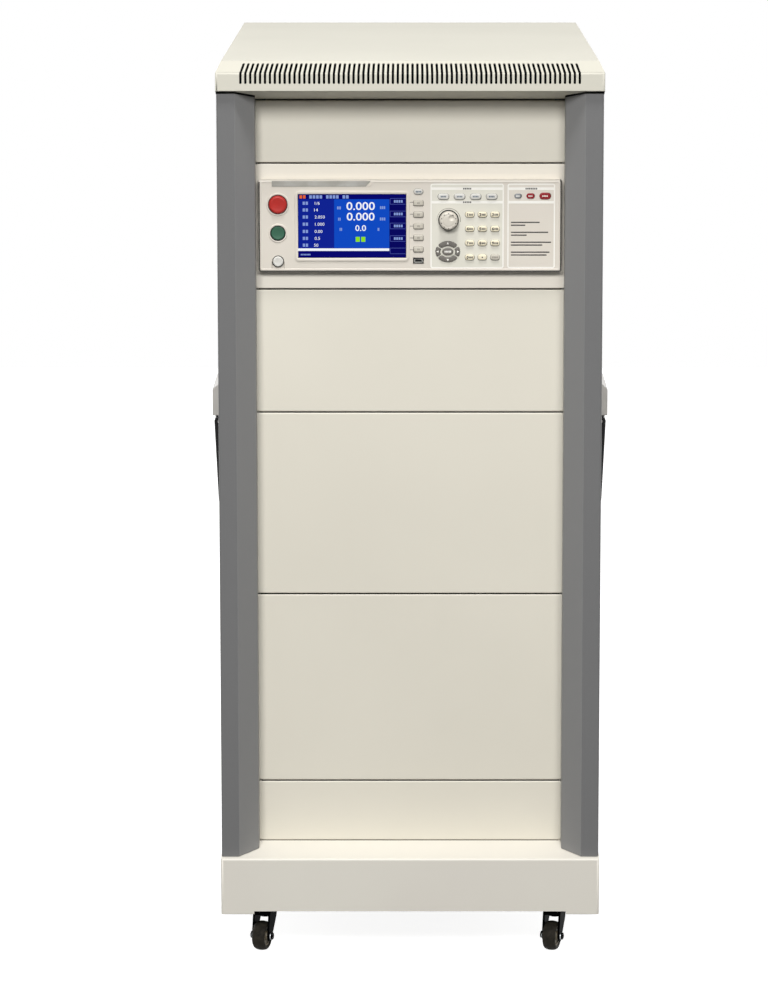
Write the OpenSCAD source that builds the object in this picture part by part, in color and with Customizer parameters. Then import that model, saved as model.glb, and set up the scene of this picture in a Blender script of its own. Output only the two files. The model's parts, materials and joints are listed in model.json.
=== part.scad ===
// Rack cabinet on casters with a programmable electrical safety tester in its second panel.
// Millimetres, +Z up. The origin is on the floor at the centre of the footprint and the front faces -Y.

/* [Cabinet] */
// Width of the top cover and of the base
cabinet_w = 538; // [532:1:560]
// Depth of the top cover and of the base
cabinet_d = 800; // [700:5:900]
// Thickness of the cabinet's folded steel sheet
sheet_t = 2; // [1.5:0.1:2.5]
// Radius of the vertical corners of cover and base
corner_r = 4; // [3:0.5:8]
// Distance from the front edge of the base back to the panels
front_recess = 68; // [62:1:80]
// Gap where a fixed piece is seated on another
seat_gap = 0.2; // [0.1:0.05:0.3]

/* [Base] */
// Height of the skirt's lower edge above the floor
skirt_z = 63.5; // [62:0.5:72]
// Height of the base's front face
base_face_h = 81.5; // [76:0.5:100]
// Rise of the sloping ledge from the front edge to the panels
ledge_rise = 8; // [6:0.5:12]
// Height of the long relief in the skirt's lower edge
relief_h = 4.5; // [3:0.5:5]
// Half length of the relief along the front
relief_half = 222; // [200:2:240]
// Height of the floor plate's underside above the skirt's lower edge
floor_lift = 10.5; // [10:0.5:12]

/* [Top cover] */
// Height of the cover's vertical front face
cover_face_h = 24; // [22:0.5:32]
// Height of the sloping band above the face
cover_slope_h = 15.5; // [14:0.5:20]
// Depth of the sloping band
cover_slope_d = 27; // [24:1:34]
// How far the band leans in at the two sides
cover_side_in = 7.5; // [5:0.5:12]
// Drop of the soffit from the front edge to the panels
soffit_drop = 17; // [14:0.5:20]
// Radius of the two long bends at the front
bend_r = 3; // [2:0.5:4]
// Number of vent slots across the front
slot_count = 70; // [60:1:74]
// Distance of the outermost slots from the sides of the cover
slot_margin = 31; // [28:0.5:40]
// Width of a slot
slot_w = 2.6; // [2:0.1:3]

/* [Front pillars] */
// Gap between the tester's bezel and a pillar
pillar_gap = 4; // [3:0.5:6]
// Share of a pillar's width that the slanting facet takes
slant_share = 0.52; // [0.45:0.01:0.6]
// Depth of the slanting facet
slant_d = 30; // [26:0.5:34]
// Distance of the pillar's face behind the base's edge
pillar_setback = 8; // [6:0.5:10]
// Wall of the pillar's hollow section
pillar_wall = 2.5; // [2:0.1:3]

/* [Panels] */
// Height of one rack unit
rack_unit = 44.45; // [44:0.05:44.6]
// Thickness of a rack panel
panel_t = 2.5; // [2:0.1:3]
// Gap between two panels
panel_gap = 2; // [1.2:0.1:2.2]

/* [Tester] */
// Width of the tester's front bezel
bezel_w = 424; // [422:0.5:428]
// Height of the tester's front bezel
bezel_h = 130; // [128:0.5:136]
// How far the bezel stands in front of the panels
bezel_proud = 12; // [11.5:0.1:14]
// Thickness of the bezel's front wall
bezel_wall = 3; // [2.6:0.1:3.2]
// Depth of the tester's case
case_d = 385; // [300:5:440]
// Play between a key and its hole
key_gap = 0.3; // [0.25:0.01:0.4]
// Height of a key above the bezel
key_proud = 2.6; // [2:0.1:3.5]
// Diameter of the stop button
stop_d = 25.5; // [22:0.5:27]
// Diameter of the start button
start_d = 19.6; // [17:0.2:21]
// Diameter of the power button
power_d = 14.4; // [12:0.2:15]
// Height of the stop button above the bezel
stop_proud = 5; // [3.5:0.1:7]
// Height of the start button above the bezel
start_proud = 0.6; // [0.4:0.1:2]
// Height of the power button above the bezel
power_proud = 2.4; // [1.5:0.1:4]
// Diameter of the rotary knob's grip
knob_d = 25.2; // [22:0.2:26]
// Length of the rotary knob
knob_l = 14; // [10:0.5:18]

/* [Casters] */
// Diameter of a wheel
wheel_d = 42; // [40:0.5:44]
// Width of a wheel
wheel_w = 19; // [16:0.5:20]
// Diameter of the wheel's axle
axle_d = 6; // [5:0.5:7]
// Distance of the axle behind the swivel pin
trail = 14; // [10:0.5:16]
// Distance of the swivel pin from the front or back edge
caster_inset_y = 52; // [42:1:60]
// Distance of the swivel pin from the cabinet's middle
caster_x = 208; // [190:1:212]
// Direction in which the casters stand at rest
caster_turn = 162; // [150:1:210]

/* [Side handles] */
// Height of the handle pins above the floor
handle_pin_z = 738; // [600:1:900]
// Distance of the handles from the cabinet's middle, to the back when above zero
handle_y = -110; // [-150:5:150]
// Length of a handle from its pin to its end
handle_l = 119.5; // [90:0.5:140]
// Width of the handle along the side
handle_w = 140; // [120:1:170]
// Diameter of the handle's pin
handle_pin_d = 6; // [5:0.5:8]

/* [Rear door] */
// Thickness of the rear door
door_t = 18; // [16:0.5:19]
// Diameter of the door's hinge pins
hinge_pin_d = 8; // [6:0.5:9]
// Width of the door frame's flange
frame_w = 30; // [26:1:36]

/* [Hidden] */
$fn = 48;

// Colours of the plain model
beige = "#ddd9cb";
cover_beige = "#e8e4d4";
pillar_grey = "#7c7c7a";
zinc = "#b9bcbe";
black = "#1c1c1c";

// Clearance of a running shaft, on the radius
run_gap = 0.08;
// Clearance between bodies that pass each other
move_gap = 0.3;
// Overrun of a cut past the face it leaves
over = 1;

// Places along the depth
front_y = -cabinet_d / 2;
back_y = cabinet_d / 2;
panel_y = front_y + front_recess;
pillar_y = front_y + pillar_setback;
rail_y = panel_y + panel_t + seat_gap;
door_in_y = back_y - door_t - 3.5;
door_out_y = door_in_y + door_t;
frame_y = door_in_y - 0.5;
side_back_y = frame_y - 1;

// Heights
ledge_front_z = skirt_z + base_face_h;
stack_z = ledge_front_z + ledge_rise;
floor_z = skirt_z + floor_lift;
floor_top_z = floor_z + sheet_t + 0.5;
stack_units = [2, 6.15, 5.9, 3.95, 4, 2];
tester_row = 4;
soffit_z = row_z(len(stack_units)) + 1.2;
cover_low_z = soffit_z + soffit_drop;
cover_bend_z = cover_low_z + cover_face_h;
top_z = cover_bend_z + cover_slope_h;

// Places across the width
side_x = cabinet_w / 2 - 1;
side_t = 1.5;
side_in_x = side_x - side_t;
opening_x = bezel_w / 2 + pillar_gap;
slant_w = (side_x - opening_x) * slant_share;
facet_x = opening_x + slant_w;
rack_half = (opening_x + side_in_x) / 2;
rail_t = 2;
rail_out_x = side_in_x - 2.5;
slot_pitch = (cabinet_w - 2 * slot_margin) / (slot_count - 1);

// Tester
tester_z = (row_z(tester_row) + row_z(tester_row + 1)) / 2 + 2;
bezel_y = panel_y - bezel_proud - seat_gap;
bezel_back_y = bezel_y + bezel_wall;
cutout_w = bezel_w - 8;
cutout_h = bezel_h - 8;
case_w = cutout_w - 4;
case_h = cutout_h - 4;
case_t = 1.5;
board_t = 1.6;
board_y = panel_y - 1.4 - board_t - seat_gap;
case_y = board_y + board_t + seat_gap;
flange_t = 1;
flange_rim = 0.8;
flange_y = bezel_back_y + move_gap;
key_travel = 1.5;
button_travel = 2;

// Layout of the bezel from its centre, across and up, as drawn for a front of 424 x 130
across = bezel_w / 424;
up = bezel_h / 130;
button_u = -185 * across;
stop_v = 30.1 * up;
start_v = -10.2 * up;
power_v = -50.1 * up;
display_u = -81.2 * across;
display_v = -0.2 * up;
display_w = 151.6 * across;
display_h = 90 * up;
display_rim_w = display_w + 8.9;
display_rim_h = display_h + 9;
soft_u = 11.7 * across;
soft_v = -0.3 * up;
soft_pitch = 16.3 * up;
lock_v = 48.3 * up;
usb_v = -49 * up;
menu_u = 80.4 * across;
menu_pitch = 22.5 * across;
menu_v = 41.5 * up;
knob_u = 53.8 * across;
knob_v = 8.4 * up;
pad_u = 52.8 * across;
pad_v = -36 * up;
number_u = 101.2 * across;
number_v = -13.9 * up;
number_pitch_u = 17.7 * across;
number_pitch_v = 20.1 * up;
lamp_u = [151.4, 169, 189.4] * across;
lamp_v = 42.1 * up;
lamp_size = [[9.8, 7], [11.3, 7.7], [15.9, 9.8]];
post_u = [-205, -168, 26, 205] * across;
post_v = [-50, 50] * up;
inlet_u = -150 * across;
inlet_v = -30 * up;

// Sizes of the keys
soft_size = [13.5, 7.8, 1.6];
lock_size = [12.5, 7.5, 3.6];
menu_size = [15.4, 8.2, 4];
number_size = [12.6, 7.8, 3.4];
enter_a = 7.9;
enter_b = 5.2;
pad_a = 16.9;
pad_b = 14.7;
pad_hole_a = 11;
pad_hole_b = 8.2;
pad_wedge_up = 52;
pad_wedge_side = 28;

// Casters
fork_leg_t = 3;
fork_gap = wheel_w + 1.2;
fork_w = fork_gap + 2 * fork_leg_t;
crown_z = floor_z - 23.8;
crown_t = 6.8;
race_z = crown_z + crown_t + move_gap;
plate_t = 3;
kingpin_d = 10;

// Handles
handle_pin_x = side_x + 9;
handle_eye_r = 7.5;
handle_arm_w = 14;

// Rear door
hinge_r = door_t / 2;
hinge_x = -(side_x - 0.5) + hinge_r;
hinge_y = door_in_y + hinge_r;
door_low_z = stack_z + 3;
door_high_z = cover_low_z - 3;
latch_x = side_x - frame_w - 16;
latch_z = (door_low_z + door_high_z) / 2;
latch_r = 9;

// Helpers that place a flat outline

// Points of an arc about a centre
function arc_points(c, r, from, to, n = 6) =
    [for (i = [0 : n]) c + r * [cos(from + (to - from) * i / n), sin(from + (to - from) * i / n)]];

// Points of an oval with half axes a and b
function oval_points(a, b, n = 40) = [for (i = [0 : n - 1]) [a * cos(360 * i / n), b * sin(360 * i / n)]];

// A (y, z) outline, thick from x0 to x1
module along_x(x0, x1) {
    translate([x0, 0, 0]) rotate([90, 0, 90]) linear_extrude(x1 - x0) children();
}

// An (x, z) outline, thick from y0 to y1
module along_y(y0, y1) {
    translate([0, y1, 0]) rotate([90, 0, 0]) linear_extrude(y1 - y0) children();
}

// An (x, y) outline, thick from z0 to z1
module along_z(z0, z1) {
    translate([0, 0, z0]) linear_extrude(z1 - z0) children();
}

// A rectangle between two corners
module rect(a, b) {
    translate(a) square(b - a);
}

// A rectangle about the origin with round corners
module round_rect(w, h, r) {
    square([w - 2 * r, h], center = true);
    square([w, h - 2 * r], center = true);
    for (sx = [-1, 1], sy = [-1, 1])
        translate([sx * (w / 2 - r), sy * (h / 2 - r)]) circle(r);
}

// The same piece on both sides of the middle plane
module both_sides() {
    children();
    mirror([1, 0, 0]) children();
}

// From the bezel's own layout to its place on the front
module on_bezel(u, v) {
    translate([u, 0, tester_z + v]) children();
}

// Base

// Side view of the base with its sloping ledge
module base_outline() {
    polygon(concat(
        [[front_y, skirt_z]],
        arc_points([front_y + bend_r, ledge_front_z - bend_r + 0.3], bend_r, 180, 97, 5),
        [[panel_y, stack_z], [back_y, stack_z], [back_y, skirt_z]]));
}

// Hollow of the base above its floor plate, open at the top behind the ledge
module base_hollow_outline() {
    polygon([[front_y + sheet_t, floor_top_z], [front_y + sheet_t, ledge_front_z - sheet_t],
        [panel_y, stack_z - sheet_t], [panel_y + sheet_t, stack_z - sheet_t], [panel_y + sheet_t, stack_z + over],
        [back_y - sheet_t, stack_z + over], [back_y - sheet_t, floor_top_z]]);
}

// One folded sheet: sloping ledge, skirt all round and floor plate
module base_frame() {
    inner_w = cabinet_w - 2 * sheet_t;
    inner_d = cabinet_d - 2 * sheet_t;
    color(beige) difference() {
        intersection() {
            along_x(-cabinet_w / 2, cabinet_w / 2) base_outline();
            along_z(skirt_z, stack_z) round_rect(cabinet_w, cabinet_d, corner_r);
        }
        intersection() {
            along_x(-inner_w / 2, inner_w / 2) base_hollow_outline();
            along_z(floor_top_z, stack_z + over) round_rect(inner_w, inner_d, corner_r - sheet_t);
        }
        along_z(skirt_z - over, floor_z) round_rect(inner_w, inner_d, corner_r - sheet_t);
        along_y(front_y - over, back_y + over)
            rect([-relief_half, skirt_z - over], [relief_half, skirt_z + relief_h]);
        along_x(-cabinet_w / 2 - over, cabinet_w / 2 + over)
            rect([-cabinet_d / 2 + 47, skirt_z - over], [cabinet_d / 2 - 47, skirt_z + relief_h]);
        translate([0, back_y - 110, floor_z - over]) cylinder(d = 60, h = sheet_t + 2 * over);
    }
}

// Top cover

// Side view of the cover, grown inwards by t
module cover_outline(t) {
    slope = atan2(cover_slope_h, cover_slope_d);
    r = bend_r - min(t, bend_r - 0.5);
    face_y = front_y + t;
    roof_z = top_z - t;
    lean = t * tan(slope / 2);
    bend_c = [face_y + r, cover_bend_z + t * tan(45 - slope / 2) - r * tan(45 - slope / 2)];
    crease_y = front_y + cover_slope_d + lean;
    crease_c = [crease_y + r * tan(slope / 2), roof_z - r];
    polygon(concat(
        [[face_y, soffit_at(face_y) + t * 1.05]],
        arc_points(bend_c, r, 180, 90 + slope, 5),
        arc_points(crease_c, r, 90 + slope, 90, 4),
        t > 0
            ? [[back_y - t, roof_z], [back_y - t, soffit_z], [panel_y, soffit_z], [panel_y, cover_low_z - 5],
                [panel_y - t, cover_low_z - 5], [panel_y - t, soffit_at(panel_y - t) + t * 1.05]]
            : [[back_y, top_z], [back_y, cover_low_z], [panel_y, cover_low_z], [panel_y, soffit_z]]));
}

// Height of the sloping soffit at a place along the depth
function soffit_at(y) = cover_low_z - soffit_drop * (y - front_y) / front_recess;

// Front view of the cover, grown inwards by t
module cover_front_outline(t) {
    half = cabinet_w / 2 - t;
    polygon([[-half, soffit_z - over], [-half, cover_bend_z], [-half + cover_side_in, top_z - t],
        [half - cover_side_in, top_z - t], [half, cover_bend_z], [half, soffit_z - over]]);
}

// Tool that cuts one slot through the front face, over the bend and up the slope
module slot_tool() {
    low = [front_y, cover_low_z + 9.5];
    high = [front_y + cover_slope_d * 0.79, cover_bend_z + cover_slope_h * 0.79];
    run = norm(high - low);
    tilt = atan2(high[1] - low[1], high[0] - low[0]);
    translate([0, (low[0] + high[0]) / 2, (low[1] + high[1]) / 2]) rotate([tilt, 0, 0])
        translate([0, 0, -sheet_t * 2.2]) linear_extrude(sheet_t * 2.2 + cover_slope_d) {
            square([slot_w, run - slot_w], center = true);
            for (s = [-1, 1]) translate([0, s * (run - slot_w) / 2]) circle(slot_w / 2, $fn = 16);
        }
}

// Folded cover with a row of wrapped vent slots
module top_cover() {
    color(cover_beige) difference() {
        intersection() {
            along_x(-cabinet_w / 2, cabinet_w / 2) cover_outline(0);
            along_y(front_y, back_y) cover_front_outline(0);
            along_z(soffit_z - over, top_z) round_rect(cabinet_w, cabinet_d, corner_r);
        }
        intersection() {
            along_x(-cabinet_w / 2 + sheet_t, cabinet_w / 2 - sheet_t) cover_outline(sheet_t);
            along_y(front_y, back_y) cover_front_outline(sheet_t);
        }
        for (i = [0 : slot_count - 1])
            translate([(i - (slot_count - 1) / 2) * slot_pitch, 0, 0]) slot_tool();
    }
}

// Pillars, rails and side panels

// Plan of the right pillar, grown inwards by t
module pillar_plan(t) {
    slant = atan2(slant_d, slant_w);
    shift = t * tan(slant / 2);
    corner = 3 - min(t, 2.5);
    polygon(concat(
        [[opening_x + t, panel_y - seat_gap - t]],
        [[opening_x + t, pillar_y + slant_d + t * tan(45 - slant / 2)]],
        [[facet_x + shift, pillar_y + t]],
        arc_points([side_x - t - corner, pillar_y + t + corner], corner, -90, 0, 5),
        [[side_x - t, panel_y - seat_gap - t]]));
}

// Hollow aluminium section, cut to the ledge below and to the soffit above
module front_pillar() {
    color(pillar_grey) intersection() {
        difference() {
            along_z(ledge_front_z, cover_low_z) pillar_plan(0);
            along_z(ledge_front_z - over, cover_low_z + over) pillar_plan(pillar_wall);
        }
        along_x(opening_x - over, cabinet_w / 2)
            polygon([[front_y, ledge_front_z + move_gap], [panel_y, stack_z + move_gap],
                [panel_y, soffit_z - move_gap], [front_y, cover_low_z - move_gap]]);
    }
}

module front_pillar_left() {
    mirror([1, 0, 0]) front_pillar();
}

module front_pillar_right() {
    front_pillar();
}

// One slotted angle rail with three square holes in each rack unit
module rack_rail() {
    hole = 9.5;
    hole_x = rack_half - 8.1;
    rail_in_x = hole_x - hole * 0.75;
    low_z = floor_top_z + seat_gap;
    high_z = cover_low_z - 2;
    color(zinc) {
        along_y(rail_y, rail_y + rail_t) difference() {
            rect([rail_in_x, low_z], [rail_out_x, high_z]);
            for (row = [0 : units_below(len(stack_units)) - 1], step = [1, 3.5, 6] / 7)
                translate([hole_x, stack_z + (row + step) * rack_unit]) square(hole, center = true);
        }
        along_x(rail_out_x - rail_t, rail_out_x) rect([rail_y, low_z], [rail_y + 32, high_z]);
    }
}

module rack_rails() {
    both_sides() {
        rack_rail();
        mirror([0, 1, 0]) rack_rail();
    }
}

// Flat steel sides with their edges folded in
module side_panels() {
    low_z = stack_z + seat_gap;
    high_z = cover_low_z - seat_gap;
    fold = 14;
    color(beige) both_sides() {
        along_x(side_in_x, side_x) rect([panel_y, low_z], [side_back_y, high_z]);
        along_y(panel_y, panel_y + side_t) rect([side_x - fold, low_z], [side_x, high_z]);
    }
}

// Rear frame and door

// Frame round the rear opening with short folded sides, and a pivot tab and pin above and below
module rear_frame() {
    out_x = side_in_x - move_gap;
    low_z = floor_top_z + seat_gap;
    high_z = cover_low_z - move_gap;
    color(beige) {
        along_y(frame_y - 3, frame_y) difference() {
            rect([-out_x, low_z], [out_x, high_z]);
            rect([-side_x + frame_w, stack_z + frame_w], [side_x - frame_w, cover_low_z - frame_w]);
        }
        both_sides() along_x(out_x - 3, out_x) rect([frame_y - 6, low_z], [frame_y, high_z]);
        pivot_tab(stack_z + 0.2, 1);
        pivot_tab(cover_low_z - 0.3, -1);
    }
}

// Tab behind the frame that carries one hinge pin, pointing up (1) or down (-1)
module pivot_tab(z, way) {
    tab_t = 2.3;
    low = way > 0 ? z : z - tab_t;
    along_z(low, low + tab_t) {
        rect([move_gap - side_in_x, frame_y - 3], [hinge_x + hinge_r, hinge_y]);
        translate([hinge_x, hinge_y]) circle(hinge_r);
    }
    translate([hinge_x, hinge_y, z + way * tab_t]) mirror([0, 0, way > 0 ? 0 : 1])
        cylinder(d = hinge_pin_d, h = 12);
}

// Folded door with a solid pivot edge, louvre slots and a bore for the latch
module rear_door() {
    skin = 1.5;
    free_x = side_x - 0.5;
    slot_l = 60;
    slots_in = 62;
    slots_step = 14;
    color(beige) difference() {
        union() {
            translate([hinge_x, hinge_y, door_low_z]) cylinder(r = hinge_r, h = door_high_z - door_low_z);
            along_z(door_low_z, door_high_z) difference() {
                rect([hinge_x, door_in_y], [free_x, door_out_y]);
                rect([hinge_x + hinge_r + skin, door_in_y - over], [free_x - skin, door_out_y - skin]);
            }
            for (z = [door_low_z, door_high_z - skin, (door_low_z * 2 + door_high_z) / 3])
                along_z(z, z + skin) rect([hinge_x, door_in_y], [free_x, door_out_y]);
        }
        for (z = [door_low_z - over, door_high_z - 14])
            translate([hinge_x, hinge_y, z]) cylinder(d = hinge_pin_d + 2 * run_gap, h = 14 + over);
        along_y(door_out_y - skin - over, door_out_y + over)
            for (row = [0 : 9], col = [-1, 0, 1], end = [0, 1])
                translate([col * (slot_l + 24), end == 0 ? door_low_z + slots_in + row * slots_step
                    : door_high_z - slots_in - row * slots_step]) round_rect(slot_l, 5, 2.4);
        translate([latch_x, door_out_y + over, latch_z]) rotate([90, 0, 0])
            cylinder(r = latch_r + run_gap, h = skin + 2 * over);
    }
}

// Quarter-turn latch, shown unlocked with its cam upright
module door_latch() {
    cam_y = frame_y - 3 - 5;
    color(zinc) translate([latch_x, 0, latch_z]) {
        along_y(cam_y - 3, door_out_y + 0.3) circle(latch_r);
        along_y(door_out_y + 0.3, door_out_y + 3) difference() {
            circle(latch_r + 3);
            round_rect(10, 2.4, 1);
        }
        along_y(cam_y - 3, cam_y) {
            rect([-6, 0], [6, 26]);
            translate([0, 26]) circle(6);
        }
    }
}

// Panels

// Rack units below a row of the stack
function units_below(i) = i == 0 ? 0 : stack_units[i - 1] + units_below(i - 1);

// Height of the lower edge of a row of the stack
function row_z(i) = stack_z + rack_unit * units_below(i);

// Flat panel with its long edges broken
module rack_panel(i) {
    low = row_z(i) + panel_gap / 2;
    high = row_z(i) + stack_units[i] * rack_unit - panel_gap / 2;
    edge = 0.8;
    along_x(-rack_half, rack_half)
        polygon([[panel_y, low + edge], [panel_y, high - edge], [panel_y + edge, high],
            [panel_y + panel_t, high], [panel_y + panel_t, low], [panel_y + edge, low]]);
}

module blank_panels() {
    color(beige) for (i = [0, 1, 2, 3, 5]) rack_panel(i);
}

// Panel round the tester, cut out for its case
module tester_panel() {
    color("#e3dccd") difference() {
        rack_panel(tester_row);
        along_y(panel_y - over, panel_y + panel_t + over)
            translate([0, tester_z]) round_rect(cutout_w, cutout_h, 3);
    }
}

// Tray between the rails that carries the tester, with both lips folded down
module tester_shelf() {
    top = tester_z - case_h / 2 - seat_gap;
    half = rail_out_x - rail_t - seat_gap;
    reach = -(rail_y + rail_t + seat_gap);
    t = 2;
    lip = top - 20;
    color(zinc) difference() {
        along_x(-half, half)
            polygon([[-reach, lip], [-reach, top], [reach, top], [reach, lip],
                [reach - t, lip], [reach - t, top - t], [-reach + t, top - t], [-reach + t, lip]]);
        for (row = [-2 : 2], col = [-4 : 4])
            translate([col * 42, row * 70, top - t - over]) linear_extrude(t + 2 * over) round_rect(8, 40, 3.9);
    }
}

// Side handles

// Hooded bracket with two ears and the pin of the right handle
module handle_bracket() {
    hood_low = handle_pin_z + handle_eye_r + 1.5;
    hood_high = hood_low + 54;
    hood_x = side_x + 18.8;
    plate_x = side_x + seat_gap;
    ear_out = handle_w / 2 - handle_arm_w - 1.5;
    ear_in = ear_out - 8;
    color("#c5c1bb") {
        along_y(-handle_w / 2, handle_w / 2)
            polygon([[plate_x, hood_low], [plate_x, hood_high], [plate_x + 2, hood_high],
                [hood_x, hood_high - 15], [hood_x, hood_low]]);
        along_y(-ear_out, ear_out) rect([plate_x, handle_pin_z - 20], [plate_x + 2, hood_low + over]);
        for (s = [-1, 1]) along_y(min(s * ear_in, s * ear_out), max(s * ear_in, s * ear_out)) {
            translate([handle_pin_x, handle_pin_z]) circle(handle_eye_r - 1);
            rect([plate_x, handle_pin_z - handle_eye_r + 1], [handle_pin_x, hood_low + over]);
            rect([plate_x, handle_pin_z], [handle_pin_x + handle_eye_r - 1, hood_low + over]);
        }
    }
    color(zinc) translate([handle_pin_x, handle_w / 2 - 1, handle_pin_z]) rotate([90, 0, 0])
        cylinder(d = handle_pin_d, h = handle_w - 2);
}

module handle_brackets() {
    both_sides() translate([0, handle_y, 0]) handle_bracket();
}

// Drop handle: two tapering arms and a round grip between them
module handle() {
    low_z = handle_pin_z - handle_l;
    grip_r = 8;
    arm_out = handle_w / 2;
    arm_in = arm_out - handle_arm_w;
    in_x = side_x + 2.2;
    end_x = side_x + 11;
    color(black) difference() {
        union() {
            for (s = [-1, 1])
                along_y(min(s * arm_in, s * arm_out), max(s * arm_in, s * arm_out)) {
                    translate([handle_pin_x, handle_pin_z]) circle(handle_eye_r);
                    polygon([[handle_pin_x - handle_eye_r, handle_pin_z], [in_x, low_z + 3], [in_x + 2, low_z],
                        [end_x - 2, low_z], [end_x, low_z + 3], [handle_pin_x + handle_eye_r, handle_pin_z]]);
                }
            along_y(-arm_in - over, arm_in + over) {
                rect([in_x, low_z + 2], [end_x, low_z + 2 * grip_r]);
                rect([in_x + 2, low_z], [end_x - 2, low_z + 2 * grip_r + 2]);
            }
        }
        translate([handle_pin_x, arm_out + over, handle_pin_z]) rotate([90, 0, 0])
            cylinder(d = handle_pin_d + 2 * run_gap, h = 2 * arm_out + 2 * over);
    }
}

module handle_right() {
    translate([0, handle_y, 0]) handle();
}

module handle_left() {
    mirror([1, 0, 0]) translate([0, handle_y, 0]) handle();
}

// Casters

// From a caster's own frame, swivel pin at its origin and axle along x, to its corner
module at_caster(sx, sy) {
    translate([sx * caster_x, sy * (cabinet_d / 2 - caster_inset_y), 0]) rotate([0, 0, caster_turn]) children();
}

// Top plates, swivel races and kingpins, fixed to the floor plate
module caster_plates() {
    plate_z = floor_z - seat_gap - plate_t;
    color(black) for (sx = [-1, 1], sy = [-1, 1]) {
        translate([sx * caster_x, sy * (cabinet_d / 2 - caster_inset_y), 0]) {
            along_z(plate_z, plate_z + plate_t) round_rect(54, 46, 5);
            translate([0, 0, race_z]) cylinder(d1 = 30, d2 = 36, h = plate_z - race_z + 0.01, $fn = 64);
            translate([0, 0, crown_z - move_gap - 3.2]) cylinder(d = kingpin_d - 2 * run_gap, h = plate_z - crown_z + 4);
            translate([0, 0, crown_z - move_gap - 3.2]) cylinder(d = 16, h = 3.2);
        }
    }
}

// Side view of one fork leg, wide at the crown and round at the axle
module fork_leg_outline() {
    eye_r = 7.5;
    axle_z = wheel_d / 2;
    polygon([[-13, crown_z + crown_t], [-14, crown_z + crown_t - 4], [-11, crown_z - 6], [trail - eye_r, axle_z],
        [trail + eye_r, axle_z], [18, crown_z - 4], [17, crown_z + crown_t - 4], [15, crown_z + crown_t]]);
    translate([trail, axle_z]) circle(eye_r);
}

// Pressed fork with its axle
module caster_fork() {
    axle_z = wheel_d / 2;
    color(black) difference() {
        union() {
            along_x(-fork_w / 2, -fork_gap / 2) fork_leg_outline();
            along_x(fork_gap / 2, fork_w / 2) fork_leg_outline();
            along_z(crown_z, crown_z + crown_t) rect([-fork_w / 2, -13], [fork_w / 2, 15]);
        }
        translate([0, 0, crown_z - over]) cylinder(d = kingpin_d, h = crown_t + 2 * over);
    }
    color(zinc) translate([0, trail, axle_z]) rotate([0, 90, 0]) {
        cylinder(d = axle_d, h = fork_w + 8, center = true);
        for (s = [-1, 1]) translate([0, 0, s * (fork_w / 2 + 1.6)]) cylinder(d = axle_d + 4, h = 3.2, center = true);
    }
}

// Wheel with a rounded tread, recessed hub faces and a bored hub
module caster_wheel() {
    r = wheel_d / 2;
    half = wheel_w / 2;
    edge = 4;
    color("#2d2b26") translate([0, trail, r]) rotate([0, 90, 0]) rotate_extrude($fn = 72)
        polygon(concat(
            [[axle_d / 2 + run_gap, -half], [axle_d / 2 + 3.5, -half], [axle_d / 2 + 3.5, -half + 2],
                [r - 6, -half + 2], [r - 5, -half]],
            arc_points([r - edge, -half + edge], edge, -90, 0, 6),
            arc_points([r - edge, half - edge], edge, 0, 90, 6),
            [[r - 5, half], [r - 6, half - 2], [axle_d / 2 + 3.5, half - 2], [axle_d / 2 + 3.5, half],
                [axle_d / 2 + run_gap, half]]));
}

module caster_fork_front_left() { at_caster(-1, -1) caster_fork(); }
module caster_fork_front_right() { at_caster(1, -1) caster_fork(); }
module caster_fork_rear_left() { at_caster(-1, 1) caster_fork(); }
module caster_fork_rear_right() { at_caster(1, 1) caster_fork(); }
module caster_wheel_front_left() { at_caster(-1, -1) caster_wheel(); }
module caster_wheel_front_right() { at_caster(1, -1) caster_wheel(); }
module caster_wheel_rear_left() { at_caster(-1, 1) caster_wheel(); }
module caster_wheel_rear_right() { at_caster(1, 1) caster_wheel(); }

// Tester

// Outlines of the keys and of their holes, grown outwards by g
module key_outline(size, g) {
    round_rect(size[0] + 2 * g, size[1] + 2 * g, size[2] + g);
}

module enter_outline(g) {
    polygon(oval_points(enter_a + g, enter_b + g));
}

// Curved arrow key in the direction turn, in degrees from the right, with half width wedge
module arrow_outline(turn, wedge, g) {
    far = 60;
    slack = g / sin(wedge);
    difference() {
        intersection() {
            polygon(oval_points(pad_a + g, pad_b + g));
            rotate(turn) polygon([[-slack, 0], [far, (far + slack) * tan(wedge)], [far, -(far + slack) * tan(wedge)]]);
        }
        polygon(oval_points(pad_hole_a - g, pad_hole_b - g));
    }
}

// Raised ring round a button
module button_ring(r, w, h) {
    translate([0, bezel_y + 0.01, 0]) rotate([90, 0, 0]) rotate_extrude()
        polygon([[r, 0], [r + w, 0], [r + w * 0.6, h], [r + w * 0.25, h]]);
}

// Front wall and sides, with the outer edges broken
module bezel_shell() {
    edge = 1.2;
    half_w = bezel_w / 2;
    half_h = bezel_h / 2;
    back = panel_y - seat_gap;
    difference() {
        intersection() {
            along_y(bezel_y, back) translate([0, tester_z]) round_rect(bezel_w, bezel_h, 3);
            along_z(tester_z - half_h, tester_z + half_h)
                polygon([[-half_w, back], [-half_w, bezel_y + edge], [-half_w + edge, bezel_y],
                    [half_w - edge, bezel_y], [half_w, bezel_y + edge], [half_w, back]]);
            along_x(-half_w, half_w) translate([0, tester_z])
                polygon([[back, -half_h], [bezel_y + edge, -half_h], [bezel_y, -half_h + edge],
                    [bezel_y, half_h - edge], [bezel_y + edge, half_h], [back, half_h]]);
        }
        along_y(bezel_back_y, back + over) translate([0, tester_z])
            round_rect(bezel_w - 2 * bezel_wall, bezel_h - 2 * bezel_wall, 1.5);
    }
}

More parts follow.
